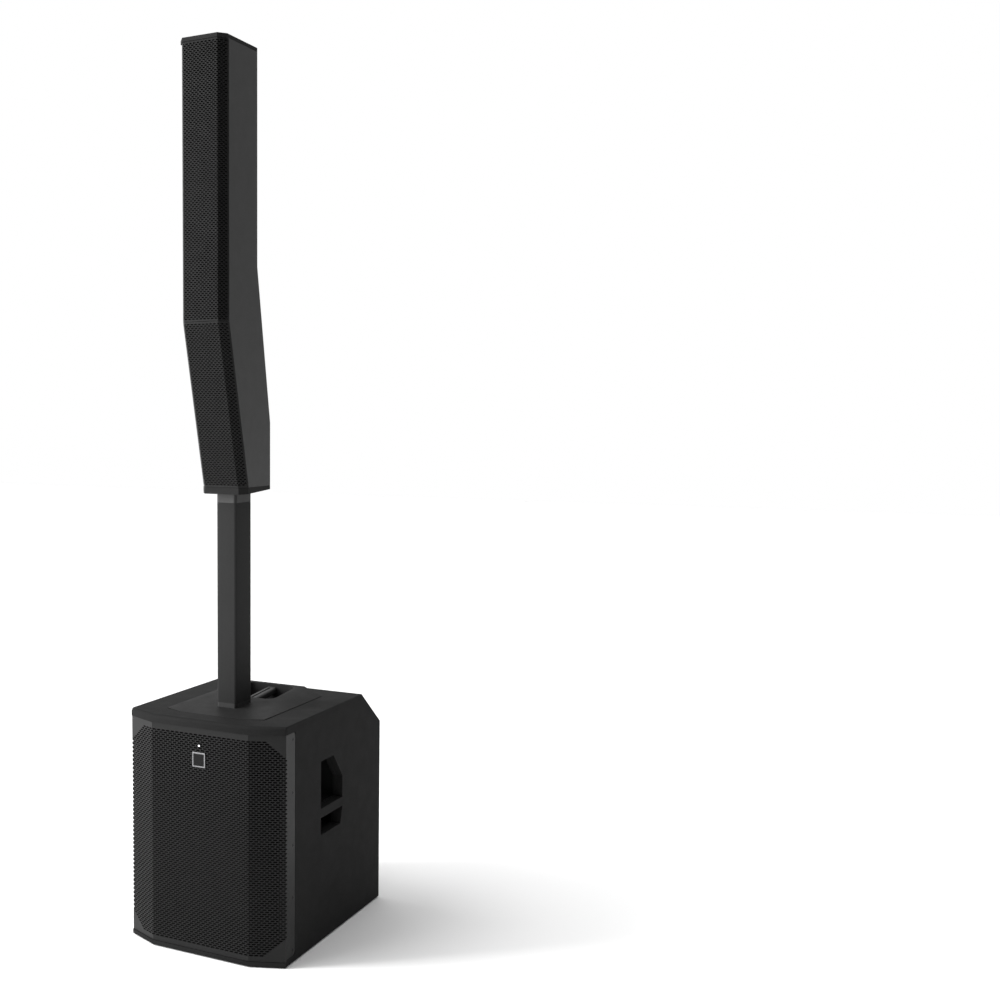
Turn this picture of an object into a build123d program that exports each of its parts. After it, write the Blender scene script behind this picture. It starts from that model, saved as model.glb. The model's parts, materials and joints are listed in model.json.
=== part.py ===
from build123d import *
import math
import os

os.makedirs("parts", exist_ok=True)

# Column PA system: a bass cabinet, a column that lifts out of it and an array of drivers
# that lifts off the column.
# Millimetres. X is to the right seen from the front, Y runs to the back, Z is up.
# The origin is on the floor, at the middle of the cabinet's footprint.

# ---- driving dimensions: bass cabinet ----
sub_width = 376.0
sub_depth = 495.0
sub_height = 498.0
foot_height = 2.0            # rubber showing below the cabinet
board = 15.0                 # sides, rear, baffle and bottom
top_board = 17.0
bottom_lip = 10.0            # front edge of the bottom, below the grille
centre_facet = 233.0         # straight part of the front
facet_depth = 30.3           # how far the two front facets run back
slope_depth = 100.0          # rear slope, along the top
slope_drop = 80.0            # rear slope, down the back
edge_round = 8.0             # rounding of the top's front edges
outer_round = 2.5            # rounding of the cabinet's other outer edges
fit_gap = 0.4                # clearance round a part that lifts out
seat_gap = 0.3               # clearance of an assembled edge
hole_gap = 0.1               # clearance round a screw's shank

# ---- front: grille, baffle, port ----
grille_setback = 2.0
grille_sheet = 1.5
grille_flange_end = 71.5     # end of the side flanges, from the front
flange_corner = 8.0
foam_thickness = 4.0
side_board_start = 36.0      # front edge of the side boards, from the front
baffle_start = 52.0          # baffle face, from the front
port_height = 50.0
port_half_width = 160.0
port_lift = 12.0
port_length = 200.0
port_shelf = 12.0
screw_count = 5              # grille screws on each side
screw_line = 63.0            # grille screws, from the front
screw_top_drop = 31.2        # top grille screw, below the top
screw_bottom = 26.8          # lowest grille screw, above the cabinet's bottom
badge_size = 31.0
badge_drop = 83.5            # centre of the badge, below the top
badge_thickness = 2.0
badge_rim = 2.4
badge_sink = 0.7             # depth of the badge's field
led_drop = 54.0
led_radius = 2.0
led_height = 1.2

# ---- woofer ----
woofer_flange_radius = 155.0
woofer_flange = 5.0
woofer_hole_radius = 141.0
woofer_top_margin = 8.0
woofer_depth = 130.0
coil_radius = 38.0
coil_gap = 1.2
woofer_screw_count = 8
woofer_screw_circle = 147.0

# ---- side handles ----
grip_front = 189.0           # front edge of the hand holes, from the front
grip_back = 294.0
grip_drop = 106.3            # top of the upper hole, below the top
grip_upper = 102.7           # height of the upper hole
grip_lower = 37.0            # height of the lower hole
grip_bar = 20.0              # bar between the two holes
grip_shoulder = 55.7         # how far the upper hole's slanted corner runs down
grip_shoulder_back = 249.0
cup_depth = 55.0
cup_face = 10.0
cup_wall = 3.0
cup_margin = 5.0

# ---- top deck, column socket and carrying handle ----
deck_front = 50.0            # front edge of the deck, from the front
deck_front_half = 76.0
deck_corner = 66.0           # where its front facets meet the sides, from the front
deck_half = 118.5
deck_back = 327.0
deck_rise = 19.0             # height of its rear edge above the top
deck_ridge_half = 77.0
deck_sink = 4.0              # how far it sits in its recess in the top
deck_shadow = 1.5            # open seam round it
deck_wall = 4.0
socket_depth = 50.0          # depth of the column socket below the top
bowl_front = 204.0
bowl_back = 318.0
bowl_half = 62.0
bowl_depth = 42.0
bowl_corner = 22.0
bowl_flare = 5.0             # lean of the bowl's walls, in degrees
handle_width = 24.0
handle_drop = 6.0            # handle's top, below the deck's surface
handle_height = 15.0
handle_round = 5.0
handle_groove = 2.0
handle_groove_half = 2.5
handle_groove_margin = 12.0

# ---- column ----
column_front = 113.3         # column face, from the front
column_width = 48.5
column_depth = 66.6
column_corner = 6.0
column_wall = 3.0
column_band = 14.0           # top of the dark end fitting, above the cabinet's top
collar_height = 19.0
spigot_height = 60.0
spigot_inset = 4.0           # how much smaller the spigot is than the column, each side

# ---- array ----
array_width = 110.0
array_face = 80.0            # width of its flat front
array_facet = 18.4           # how far its front facets run back
array_front = 15.0           # its face, from the cabinet's front
array_back = 153.9
array_foot_back = 209.8
array_bottom = 958.7         # heights above the cabinet's bottom
array_bend = 1312.3
array_top = 1876.7
array_lean = 82.1            # how far the foot of the array sits back
array_back_bend_high = 1432.0
array_back_bend_low = 1107.8
array_wall = 4.0
array_round = 5.0
array_sheet = 1.2
array_shadow = 0.7           # open seam between grille and housing
housing_setback = 1.6        # housing's front edges, behind the line of the facets' outer edges
cap_overhang = 2.0
top_cap_height = 8.5
bottom_cap_height = 14.9
bottom_cap_rise = 6.9        # its underside rises to the back
bend_seam = 1.0
array_baffle_setback = 2.0
array_baffle = 6.0
pad_low = 1568.7
pad_high = 1625.4
pad_height = 2.5
pad_half = 38.0
pad_chamfer = 7.5

# ---- small drivers ----
driver_pitch = 90.0
upper_drivers = 6
lower_drivers = 2
driver_radius = 44.0
driver_hole_radius = 37.0
driver_flange = 3.0
driver_depth = 38.0
driver_rear = 22.0           # back of its frame, behind the baffle's face
driver_margin = 8.0          # from the bend to the edge of the first driver

# ---- rear amplifier panel ----
amp_half = 135.0             # half width of the tray
amp_low = 73.0               # bottom of the tray, above the cabinet's bottom
amp_drop = 125.0             # top of the tray, below the cabinet's top
amp_flange = 15.0
amp_sheet = 2.5
amp_rebate = 5.0
amp_tray = 22.0
amp_floor = 3.0
board_gap = 22.0             # from the tray's floor to the circuit board
circuit_board = 1.6

# ---- derived places ----
front = -sub_depth / 2
back = sub_depth / 2
side = sub_width / 2
base = foot_height
top = base + sub_height
inner_side = side - board
inner_low = base + board
inner_high = top - top_board
baffle_y = front + baffle_start
baffle_back = baffle_y + board
woofer_z = inner_high - woofer_top_margin - woofer_flange_radius
slope_angle = math.atan2(slope_drop, slope_depth)
column_y = front + column_front + column_depth / 2
lean_angle = math.degrees(math.atan2(array_lean, array_bend - array_bottom))
array_low = base + array_bottom
bend_z = base + array_bend
array_high = base + array_top
array_half = array_width / 2
cap_seam_low = array_low + bottom_cap_height
cap_seam_high = array_high - top_cap_height
amp_floor_y = back - amp_rebate - amp_tray
tray_low = base + amp_low
tray_high = top - amp_drop
grip_high = top - grip_drop
grip_bar_high = grip_high - grip_upper
grip_bar_low = grip_bar_high - grip_bar
grip_low = grip_bar_low - grip_lower


# ---- shape helpers ----
def slab_x(outline, x0, x1):
    """Outline of (y, z) points, filled from x0 to x1."""
    return extrude(Plane.YZ.offset(x0) * make_face(Polyline(*outline, close=True)), amount=x1 - x0)


def slab_y(outline, y0, y1):
    """Outline of (x, z) points, filled from y0 to y1."""
    return extrude(Plane.XZ.offset(-y0) * make_face(Polyline(*outline, close=True)), amount=y0 - y1)


def slab_z(outline, z0, z1):
    """Outline of (x, y) points, filled from z0 to z1."""
    return extrude(Plane.XY.offset(z0) * make_face(Polyline(*outline, close=True)), amount=z1 - z0)


def block(x0, x1, y0, y1, z0, z1):
    centre = Pos((x0 + x1) / 2, (y0 + y1) / 2, (z0 + z1) / 2)
    return centre * Box(x1 - x0, y1 - y0, z1 - z0)


def rod_x(radius, y, z, x0, x1):
    return Pos((x0 + x1) / 2, y, z) * Rot(0, 90, 0) * Cylinder(radius, x1 - x0)


def rod_y(radius, x, z, y0, y1):
    return Pos(x, (y0 + y1) / 2, z) * Rot(90, 0, 0) * Cylinder(radius, y1 - y0)


def rod_z(radius, x, y, z0, z1):
    return Pos(x, y, (z0 + z1) / 2) * Cylinder(radius, z1 - z0)


def round_bar_z(width, depth, corner, y, z0, z1):
    """Upright bar of rounded rectangular section, centred on x = 0."""
    section = Pos(0, y, z0) * RectangleRounded(width, depth, corner)
    return extrude(section, amount=z1 - z0)


def turned(profile):
    """Ring or disc turned about Y from (radius, y) points."""
    return revolve(make_face(Polyline(*profile, close=True)), Axis.Y)


def half_roll(middle, radius, sheet, lip, seat_y):
    """Rolled rubber edge about Y: a half round with a flat lip each side, standing forward of seat_y."""
    face_y = seat_y - sheet
    outer = make_face(
        Line((middle - radius, face_y), (middle + radius, face_y))
        + ThreePointArc((middle + radius, face_y), (middle, face_y - radius), (middle - radius, face_y))
    )
    inner_radius = radius - sheet
    inner = make_face(
        Line((middle - inner_radius, face_y), (middle + inner_radius, face_y))
        + ThreePointArc(
            (middle + inner_radius, face_y), (middle, face_y - inner_radius), (middle - inner_radius, face_y)
        )
    )
    inner_lip = Pos(middle - inner_radius - lip / 2, seat_y - sheet / 2) * Rectangle(lip, sheet)
    outer_lip = Pos(middle + inner_radius + lip / 2, seat_y - sheet / 2) * Rectangle(lip, sheet)
    return revolve(outer - inner + inner_lip + outer_lip, Axis.Y)


def front_offset_y(x, inset):
    """Y of the front outline moved in by inset, at a place on the facet."""
    run = side - centre_facet / 2
    length = math.hypot(run, facet_depth)
    return front + (abs(x) - centre_facet / 2) * facet_depth / run + inset * length / run


def front_corner_x(inset):
    """X where the centre facet meets the side facet, for the outline moved in by inset."""
    run = side - centre_facet / 2
    length = math.hypot(run, facet_depth)
    return centre_facet / 2 - inset * (length - run) / facet_depth


def front_line(inset, half):
    knee = front_corner_x(inset)
    edge_y = front_offset_y(half, inset)
    return [(-half, edge_y), (-knee, front + inset), (knee, front + inset), (half, edge_y)]


def front_sheet(inset, sheet, half, z0, z1):
    """Folded sheet that follows the cabinet's front."""
    outline = front_line(inset, half) + front_line(inset + sheet, half)[::-1]
    return slab_z(outline, z0, z1)


def array_face_y(z):
    """Y of the array's face at a height."""
    return front + array_front + max(0.0, bend_z - z) * array_lean / (array_bend - array_bottom)


def array_line(inset, gap):
    """Plan of the array's folded front at the bend, moved in by inset; gap keeps it off the housing."""
    run = (array_width - array_face) / 2
    length = math.hypot(run, array_facet)
    knee = array_face / 2 - inset * (length - run) / array_facet
    half = array_half - gap
    face_y = front + array_front
    edge_y = face_y + (half - array_face / 2) * array_facet / run + inset * length / run
    return [(-half, edge_y), (-knee, face_y + inset), (knee, face_y + inset), (half, edge_y)]


def save(name, shape):
    export_step(shape, f"parts/{name}.step")


# ---- cabinet boards ----
def cabinet_plan():
    return front_line(0.0, side) + [(side, back), (-side, back)]


def slope_z(y):
    """Height of the rear slope's outer face."""
    return top - (y - (back - slope_depth)) * slope_drop / slope_depth


def screw_heights():
    first = top - screw_top_drop
    pitch = (first - base - screw_bottom) / (screw_count - 1)
    return [first - i * pitch for i in range(screw_count)]


def outer_edges(panel):
    """Edges that lie on the cabinet's sides."""
    return [e for e in panel.edges() if abs(e.center().X) > side - 0.1]


def top_panel():
    low_back = back - slope_depth + top_board * slope_depth / slope_drop
    side_view = [(front - 1, inner_high), (low_back, inner_high), (back - slope_depth, top), (front - 1, top)]
    panel = slab_z(cabinet_plan(), inner_high, top) & slab_x(side_view, -side, side)
    fold_y = front + facet_depth + 1
    upper = panel.faces().sort_by(Axis.Z)[-1].edges()
    panel = fillet(upper.filter_by(lambda e: e.center().Y < fold_y), edge_round)
    sides = [e for e in outer_edges(panel) if e.center().Z > inner_high + 1 and e.center().Y > fold_y]
    panel = fillet(sides, outer_round)
    panel -= deck_plan_slab(deck_shadow, top - deck_sink, top + 1)
    panel -= deck_well(seat_gap, inner_high - 1, top)
    return panel


def bottom_panel():
    lower = slab_z(cabinet_plan(), base, base + bottom_lip)
    upper = block(-side, side, front + side_board_start, back, base + bottom_lip, inner_low)
    panel = lower + upper
    corners = [e for e in outer_edges(panel) if e.center().Y > back - 0.1 and e.center().Z > base + 0.1]
    panel = fillet(corners + panel.faces().sort_by(Axis.Z)[0].edges(), outer_round)
    for x, y in foot_places():
        panel -= rod_z(foot_radius + seat_gap, x, y, base - 1, base + foot_recess)
        panel -= rod_z(foot_screw_radius + hole_gap, x, y, base, inner_low + 1)
    return panel


def side_panel(sign):
    outline = [
        (front + side_board_start, inner_low),
        (back, inner_low),
        (back, top - slope_drop),
        (back - slope_depth + top_board * slope_depth / slope_drop, inner_high),
        (front + side_board_start, inner_high),
    ]
    panel = slab_x(outline, *span(sign, inner_side, side))
    panel = fillet([e for e in outer_edges(panel) if e.center().Y > back - slope_depth / 2], outer_round)
    flange_end = front + grille_flange_end + seat_gap
    panel -= side_block(sign, side - grille_sheet, side + 1, front, flange_end, inner_low, inner_high)
    for hole in grip_outlines():
        panel -= slab_x(hole, *span(sign, inner_side - 1, side + 1))
    shank = span(sign, side - grille_screw_length, side)
    for z in screw_heights():
        panel -= rod_x(grille_screw_radius + hole_gap, front + screw_line, z, *shank)
    return panel


def span(sign, near, far):
    return (min(sign * near, sign * far), max(sign * near, sign * far))


def side_block(sign, near, far, y0, y1, z0, z1):
    return block(*span(sign, near, far), y0, y1, z0, z1)


def slope_inner_z(y):
    return slope_z(y) - board / math.cos(slope_angle)


def rear_panel():
    outline = [
        (back - board, inner_low),
        (back, inner_low),
        (back, top - slope_drop),
        (back - board, slope_inner_z(back - board)),
    ]
    panel = slab_x(outline, -inner_side, inner_side)
    panel -= block(
        -amp_half - seat_gap, amp_half + seat_gap, back - board - 1, back + 1,
        tray_low - seat_gap, tray_high + seat_gap,
    )
    rim = amp_flange + seat_gap
    panel -= block(
        -amp_half - rim, amp_half + rim, back - amp_rebate - amp_sheet, back + 1,
        tray_low - rim, tray_high + rim,
    )
    for x, z in amp_screw_places():
        panel -= rod_y(amp_screw_radius + hole_gap, x, z, back - board, back)
    return panel


def rear_slope_panel():
    low_back = back - slope_depth + top_board * slope_depth / slope_drop
    inner_back = low_back - (board / math.sin(slope_angle))
    outline = [
        (low_back, inner_high),
        (back, top - slope_drop),
        (back - board, slope_inner_z(back - board)),
        (inner_back, inner_high),
    ]
    return slab_x(outline, -inner_side, inner_side)


def front_baffle():
    baffle = block(-inner_side, inner_side, baffle_y, baffle_back, inner_low, inner_high)
    baffle -= rod_y(woofer_hole_radius, 0, woofer_z, baffle_y - 1, baffle_back + 1)
    port_low = inner_low + port_lift
    baffle -= block(
        -port_half_width, port_half_width, baffle_y - 1, baffle_back + 1, port_low, port_low + port_height
    )
    for x, z in woofer_screw_places():
        baffle -= rod_y(woofer_screw_radius + hole_gap, x, z, baffle_y - 1, baffle_y + woofer_screw_length)
    return baffle


def port_duct():
    shelf_low = inner_low + port_lift + port_height
    duct = block(
        -inner_side, inner_side, baffle_back, baffle_back + port_length, shelf_low, shelf_low + port_shelf
    )
    for sign in (-1, 1):
        duct += side_block(
            sign, port_half_width, inner_side, baffle_back, baffle_back + port_length, inner_low, shelf_low
        )
    return duct


brace_gap = 8.0              # brace's distance behind the deck
brace_rim = 50.0


def window_brace():
    y0 = front + deck_back + brace_gap
    brace = block(-inner_side, inner_side, y0, y0 + board, inner_low, inner_high)
    brace -= block(
        -inner_side + brace_rim, inner_side - brace_rim, y0 - 1, y0 + board + 1,
        inner_low + brace_rim, inner_high - brace_rim,
    )
    return brace


# ---- side handles ----
def grip_outlines():
    """The two hand holes of a side, as (y, z) outlines."""
    upper = [
        (front + grip_front, grip_bar_high),
        (front + grip_back, grip_bar_high),
        (front + grip_back, grip_high - grip_shoulder),
        (front + grip_shoulder_back, grip_high),
        (front + grip_front, grip_high),
    ]
    lower = [
        (front + grip_front, grip_low),
        (front + grip_back - cup_margin * 2, grip_low),
        (front + grip_back, grip_bar_low),
        (front + grip_front, grip_bar_low),
    ]
    return [upper, lower]


def handle_cup(sign):
    margin = cup_margin + cup_wall
    y0 = front + grip_front - margin
    y1 = front + grip_back + margin
    z0 = grip_low - margin
    z1 = grip_high + margin
    cup = side_block(sign, inner_side - cup_depth, inner_side, y0, y1, z0, z1)
    cup -= side_block(
        sign, inner_side - cup_depth + cup_wall, inner_side - cup_face,
        y0 + cup_wall, y1 - cup_wall, z0 + cup_wall, z1 - cup_wall,
    )
    for hole in grip_outlines():
        cup -= slab_x(hole, *span(sign, inner_side - cup_face - 1, inner_side + 1))
    return cup


# ---- top deck ----
def deck_outline(grow):
    facet_run = deck_half - deck_front_half
    facet_back = deck_corner - deck_front
    length = math.hypot(facet_run, facet_back)
    shift = grow * (length - facet_back) / facet_run
    knee = deck_front_half + grow * (length - facet_run) / facet_back
    return [
        (-deck_half - grow, front + deck_corner - shift),
        (-knee, front + deck_front - grow),
        (knee, front + deck_front - grow),
        (deck_half + grow, front + deck_corner - shift),
        (deck_half + grow, front + deck_back + grow),
        (-deck_half - grow, front + deck_back + grow),
    ]


def deck_plan_slab(grow, z0, z1):
    return slab_z(deck_outline(grow), z0, z1)


def deck_surface_z(y):
    """Height of the deck's middle face."""
    return top + (y - front - deck_front) * deck_rise / (deck_back - deck_front)


def deck_envelope(inset, z0):
    """The deck's outer form down to z0, moved in by inset."""
    body = deck_plan_slab(-inset, z0, top + deck_rise + 1)
    y0 = front + deck_front
    y1 = front + deck_back
    over = [
        (y0 - 50, deck_surface_z(y0 - 50) - inset),
        (y1 + 50, deck_surface_z(y1 + 50) - inset),
        (y1 + 50, top + 100),
        (y0 - 50, top + 100),
    ]
    body -= slab_x(over, -side, side)
    for sign in (-1, 1):
        corner = Vector(sign * deck_half, front + deck_corner, deck_surface_z(front + deck_corner) - inset)
        ridge = Vector(sign * deck_ridge_half, y1, top + deck_rise - inset)
        edge = Vector(sign * deck_half, y1, top + 0.5 - inset)
        normal = (ridge - corner).cross(edge - corner)
        if normal.Z < 0:
            normal = normal * -1
        body = split(body, bisect_by=Plane(corner, z_dir=normal), keep=Keep.BOTTOM)
    return body


def deck_well(grow, z0, z1):
    """The part of the deck that hangs through the top: column socket and handle bowl."""
    socket_half = column_width / 2 + fit_gap + deck_wall + grow
    y0 = front + column_front - fit_gap - deck_wall - grow
    y1 = front + bowl_front
    well = block(-socket_half, socket_half, y0, y1, z0, z1)
    half = bowl_half + deck_wall + grow
    well += block(-half, half, y1 - deck_wall - grow, front + bowl_back + deck_wall + grow, z0, z1)
    return well


def bowl_space():
    """The hollow of the handle bowl, narrower at its floor."""
    length = bowl_back - bowl_front
    rim = Pos(0, front + bowl_front + length / 2, top + deck_rise) * RectangleRounded(
        2 * bowl_half, length, bowl_corner
    )
    return extrude(rim, amount=-bowl_depth - deck_rise, taper=bowl_flare)


def top_deck():
    shell = deck_envelope(0.0, top - deck_sink) - deck_envelope(deck_wall, top - deck_sink - 1)
    well = deck_well(0.0, top - socket_depth - deck_wall, top + deck_rise + 1)
    bowl_floor = top - bowl_depth
    well -= block(
        -side, side, front + bowl_front - deck_wall, front + deck_back + 50,
        top - socket_depth - deck_wall - 1, bowl_floor - deck_wall,
    )
    deck = shell + (well & deck_envelope(0.0, top - socket_depth - deck_wall))
    deck -= round_bar_z(
        column_width + 2 * fit_gap, column_depth + 2 * fit_gap, column_corner + fit_gap,
        column_y, top - socket_depth, top + 50,
    )
    return deck - bowl_space()


def carry_handle():
    """Grooved bar along Y that ends in the bowl's walls."""
    y0 = front + bowl_front
    y1 = front + bowl_back

    def band(start, end, low, high):
        start_z = deck_surface_z(start) - handle_drop
        end_z = deck_surface_z(end) - handle_drop
        return [(start, start_z + low), (end, end_z + low), (end, end_z + high), (start, start_z + high)]

    bar = slab_x(band(y0, y1, -handle_height, 0.0), -handle_width / 2, handle_width / 2)
    long_edges = [e for e in bar.edges() if abs(e.center().X) > handle_width / 2 - 1 and e.length > 50]
    bar = fillet(long_edges, handle_round)
    groove = band(y0 + handle_groove_margin, y1 - handle_groove_margin, -handle_groove, handle_height)
    bar -= slab_x(groove, -handle_groove_half, handle_groove_half)
    return bar & bowl_space()


contact_half_x = 9.0
contact_half_y = 16.0
contact_height = 8.0


def dock_contacts():
    floor = top - socket_depth
    dock = block(
        -contact_half_x, contact_half_x, column_y - contact_half_y, column_y + contact_half_y,
        floor, floor + contact_height,
    )
    for i in range(4):
        y = column_y + (i - 1.5) * 8.0
        dock += rod_z(1.5, 0, y, floor + contact_height, floor + contact_height + 3)
    return dock


# ---- front pieces ----
def sub_grille():
    low = base + bottom_lip + seat_gap
    high = inner_high - seat_gap
    grille = front_sheet(grille_setback, grille_sheet, side, low, high)
    fold_y = front_offset_y(side, grille_setback)
    for sign in (-1, 1):
        flange = side_block(
            sign, side - grille_sheet, side, fold_y, front + grille_flange_end, inner_low + seat_gap, high
        )
        rear_y = front + grille_flange_end - 1
        corners = [e for e in flange.edges().filter_by(Axis.X) if e.center().Y > rear_y]
        grille += fillet(corners, flange_corner)
    screw_y = front + screw_line
    for sign in (-1, 1):
        through = span(sign, side - 5, side + 1)
        seat = span(sign, side - screw_head_height, side + 1)
        for z in screw_heights():
            grille -= rod_x(grille_screw_radius + hole_gap, screw_y, z, *through)
            grille -= rod_x(grille_screw_head + hole_gap, screw_y, z, *seat)
    return grille


def grille_foam():
    low = base + bottom_lip + 1
    half = inner_side - 1
    return front_sheet(grille_setback + grille_sheet, foam_thickness, half, low, inner_high - 1)


grille_screw_radius = 2.0
grille_screw_head = 3.6
grille_screw_length = 14.0
screw_head_height = 0.8


def grille_screws():
    screws = []
    y = front + screw_line
    neck = side - screw_head_height
    for sign in (-1, 1):
        for z in screw_heights():
            shank = rod_x(grille_screw_radius, y, z, *span(sign, side - grille_screw_length + 1, neck))
            screws.append(shank + rod_x(grille_screw_head, y, z, *span(sign, neck, side)))
    return Compound(children=screws)


def front_badge():
    y0 = front + grille_setback - badge_thickness
    half = badge_size / 2
    z = top - badge_drop
    plate = block(-half, half, y0, y0 + badge_thickness, z - half, z + half)
    field = half - badge_rim
    return plate - block(-field, field, y0 - 1, y0 + badge_sink, z - field, z + field)


def status_led():
    z = top - led_drop
    return rod_y(led_radius, 0, z, front + grille_setback - led_height, front + grille_setback)


# ---- feet ----
foot_radius = 14.0
foot_recess = 5.0
foot_inset_x = 32.0
foot_inset_front = 62.0
foot_inset_back = 40.0
foot_screw_radius = 2.0
foot_screw_head = 4.0


def foot_places():
    x = side - foot_inset_x
    return [(sx * x, y) for sx in (-1, 1) for y in (front + foot_inset_front, back - foot_inset_back)]


def rubber_feet():
    feet = []
    for x, y in foot_places():
        foot = rod_z(foot_radius, x, y, 0, base + foot_recess)
        foot = chamfer(foot.faces().sort_by(Axis.Z)[0].edges(), 1.2)
        foot -= rod_z(foot_screw_head + hole_gap, x, y, -1, base + 1.5)
        foot -= rod_z(foot_screw_radius + hole_gap, x, y, 0, base + foot_recess + 1)
        feet.append(foot)
    return Compound(children=feet)


def foot_screws():
    screws = []
    for x, y in foot_places():
        head = rod_z(foot_screw_head, x, y, base - 0.5, base + 1.5)
        screws.append(head + rod_z(foot_screw_radius, x, y, base + 1.5, inner_low - 1))
    return Compound(children=screws)


# ---- woofer: local Y is 0 at the baffle's face ----
woofer_screw_radius = 2.5
woofer_screw_head = 4.5
woofer_screw_length = 13.0
surround_middle = 122.0
surround_roll = 11.0
surround_sheet = 1.2
surround_lip = 7.0
motor_seat = 92.0            # back of the basket
spider_y = 64.0
motor_plate = 8.0
plate_radius = 64.0
magnet_hole = 52.0
magnet_radius = 78.0
yoke_radius = 70.0
basket_arms = 6
cap_overlap = 14.0           # how far the dust cap reaches over the cone
cap_height = 14.0
cap_seat = 34.0
cap_sheet = 1.2


def at_woofer(shape):
    return Pos(0, baffle_y, woofer_z) * shape


def woofer_screw_places():
    turn = 360 / woofer_screw_count
    angles = [math.radians((i + 0.5) * turn) for i in range(woofer_screw_count)]
    return [
        (woofer_screw_circle * math.cos(a), woofer_z + woofer_screw_circle * math.sin(a)) for a in angles
    ]


def woofer_basket():
    rim = woofer_hole_radius - 1
    profile = [
        (128, -woofer_flange), (woofer_flange_radius, -woofer_flange), (woofer_flange_radius, 0), (rim, 0),
        (rim - 8, 28), (80, motor_seat - 6), (80, motor_seat), (coil_radius + 5, motor_seat),
        (coil_radius + 5, motor_seat - 6), (67, motor_seat - 6), (67, spider_y + 1), (72, spider_y + 1),
        (126, 26), (128, 0),
    ]
    basket = turned(profile)
    window = block(-22, 22, 30, 62, 84, 160)
    for i in range(basket_arms):
        basket -= Rot(0, i * 360 / basket_arms, 0) * window
    basket = at_woofer(basket)
    for x, z in woofer_screw_places():
        basket -= rod_y(woofer_screw_radius + hole_gap, x, z, baffle_y - 10, baffle_y + 1)
    return basket


def woofer_surround():
    return at_woofer(half_roll(surround_middle, surround_roll, surround_sheet, surround_lip, -woofer_flange))


def woofer_spider():
    inner = coil_radius + coil_gap
    steps = 8
    step = (66 - inner - 3) / steps
    crest = [(inner + 2 + i * step, spider_y + (2.0 if i % 2 else -0.5)) for i in range(1, steps)]
    top_line = [(inner + 0.1, spider_y), (inner + 2, spider_y)] + crest + [(66, spider_y), (71, spider_y)]
    low_line = [(r, y + 1.0) for r, y in top_line[::-1]]
    return at_woofer(turned(top_line + low_line))


def woofer_cone():
    edge = surround_middle - surround_roll + surround_sheet
    seat = -woofer_flange
    cone = turned([
        (edge - surround_lip, seat), (edge, seat), (edge, seat + 1.5), (coil_radius + 1, 46),
        (coil_radius, 46), (coil_radius, 44), (edge - surround_lip, seat + 1.5),
    ])
    cap_radius = coil_radius + cap_overlap
    ball = (cap_radius ** 2 + cap_height ** 2) / (2 * cap_height)
    dome = Pos(0, cap_seat + ball - cap_height, 0) * (Sphere(ball) - Sphere(ball - cap_sheet))
    dome &= rod_y(cap_radius, 0, 0, cap_seat - cap_height - 1, cap_seat)
    return at_woofer(cone + dome)


def voice_coil():
    former = turned([(coil_radius, 46), (coil_radius + 1, 46), (coil_radius + 1, 112), (coil_radius, 112)])
    return at_woofer(former)


def woofer_magnet():
    gap_radius = coil_radius + 2.2
    plate_back = motor_seat + motor_plate
    yoke_front = woofer_depth - motor_plate - 2
    pole = coil_radius - coil_gap
    plate = turned([
        (gap_radius, motor_seat), (plate_radius, motor_seat), (plate_radius, plate_back),
        (gap_radius, plate_back),
    ])
    ring = turned([
        (magnet_hole, plate_back), (magnet_radius, plate_back), (magnet_radius, yoke_front),
        (magnet_hole, yoke_front),
    ])
    yoke = turned([
        (0, motor_seat), (pole, motor_seat), (pole, yoke_front), (yoke_radius, yoke_front),
        (yoke_radius, woofer_depth), (0, woofer_depth),
    ])
    return Compound(children=[at_woofer(plate), at_woofer(ring), at_woofer(yoke)])


def woofer_screws():
    screws = []
    for x, z in woofer_screw_places():
        head = rod_y(woofer_screw_head, x, z, baffle_y - woofer_flange - 3, baffle_y - woofer_flange)
        shank = rod_y(woofer_screw_radius, x, z, baffle_y - woofer_flange, baffle_y + woofer_screw_length - 1)
        screws.append(head + shank)
    return Compound(children=screws)


# ---- rear amplifier ----
amp_screw_radius = 2.0
amp_screw_head = 3.8
knob_radius = 8.0
encoder_radius = 14.0
knob_height = 14.0
knob_clearance = 0.8
shaft_radius = 3.0
shaft_gap = 0.05
control_row = tray_high - 45.0
socket_row = tray_high - 95.0
encoder_row = tray_high - 105.0
line_row = tray_high - 141.0
channel_places = (-15.0, 35.0)
encoder_x = -82.0
window_low = tray_high - 65.0
window_high = tray_high - 25.0
window_half = 30.0
window_sheet = 1.5
inlet_x = 95.0
inlet_half_x = 16.0
inlet_low = tray_high - 138.0
inlet_high = tray_high - 63.0
inlet_depth = 24.0
inlet_flange = 2.0
inlet_cavity_x = 12.2
inlet_cavity_low = inlet_low + 8.0
inlet_cavity_high = inlet_low + 24.5
inlet_cavity_depth = 18.0
rocker_half_x = 9.0
rocker_low = inlet_high - 36.0
rocker_high = inlet_high - 10.0
jack_radius = 3.25
jack_length = 22.0
socket_half = 13.0
socket_flange = 2.0
sink_low = tray_low + 12.0
sink_high = line_row - 47.0
sink_half = 112.0
fin_count = 15
fin_height = 16.0


def amp_screw_places():
    rim = amp_flange / 2
    x = amp_half + rim
    places = []
    for sx in (-1, 1):
        for i in range(4):
            places.append((sx * x, tray_low - rim + i * (tray_high - tray_low + 2 * rim) / 3))
    places += [(0, tray_low - rim), (0, tray_high + rim)]
    return places


def control_places():
    """Shafts through the tray: (x, height, knob radius)."""
    places = [(encoder_x, encoder_row)]
    return places + [(x, control_row) for x in channel_places]


def socket_places():
    combo = [(x, socket_row) for x in channel_places]
    line = [(x, line_row) for x in channel_places]
    return combo, line


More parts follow.
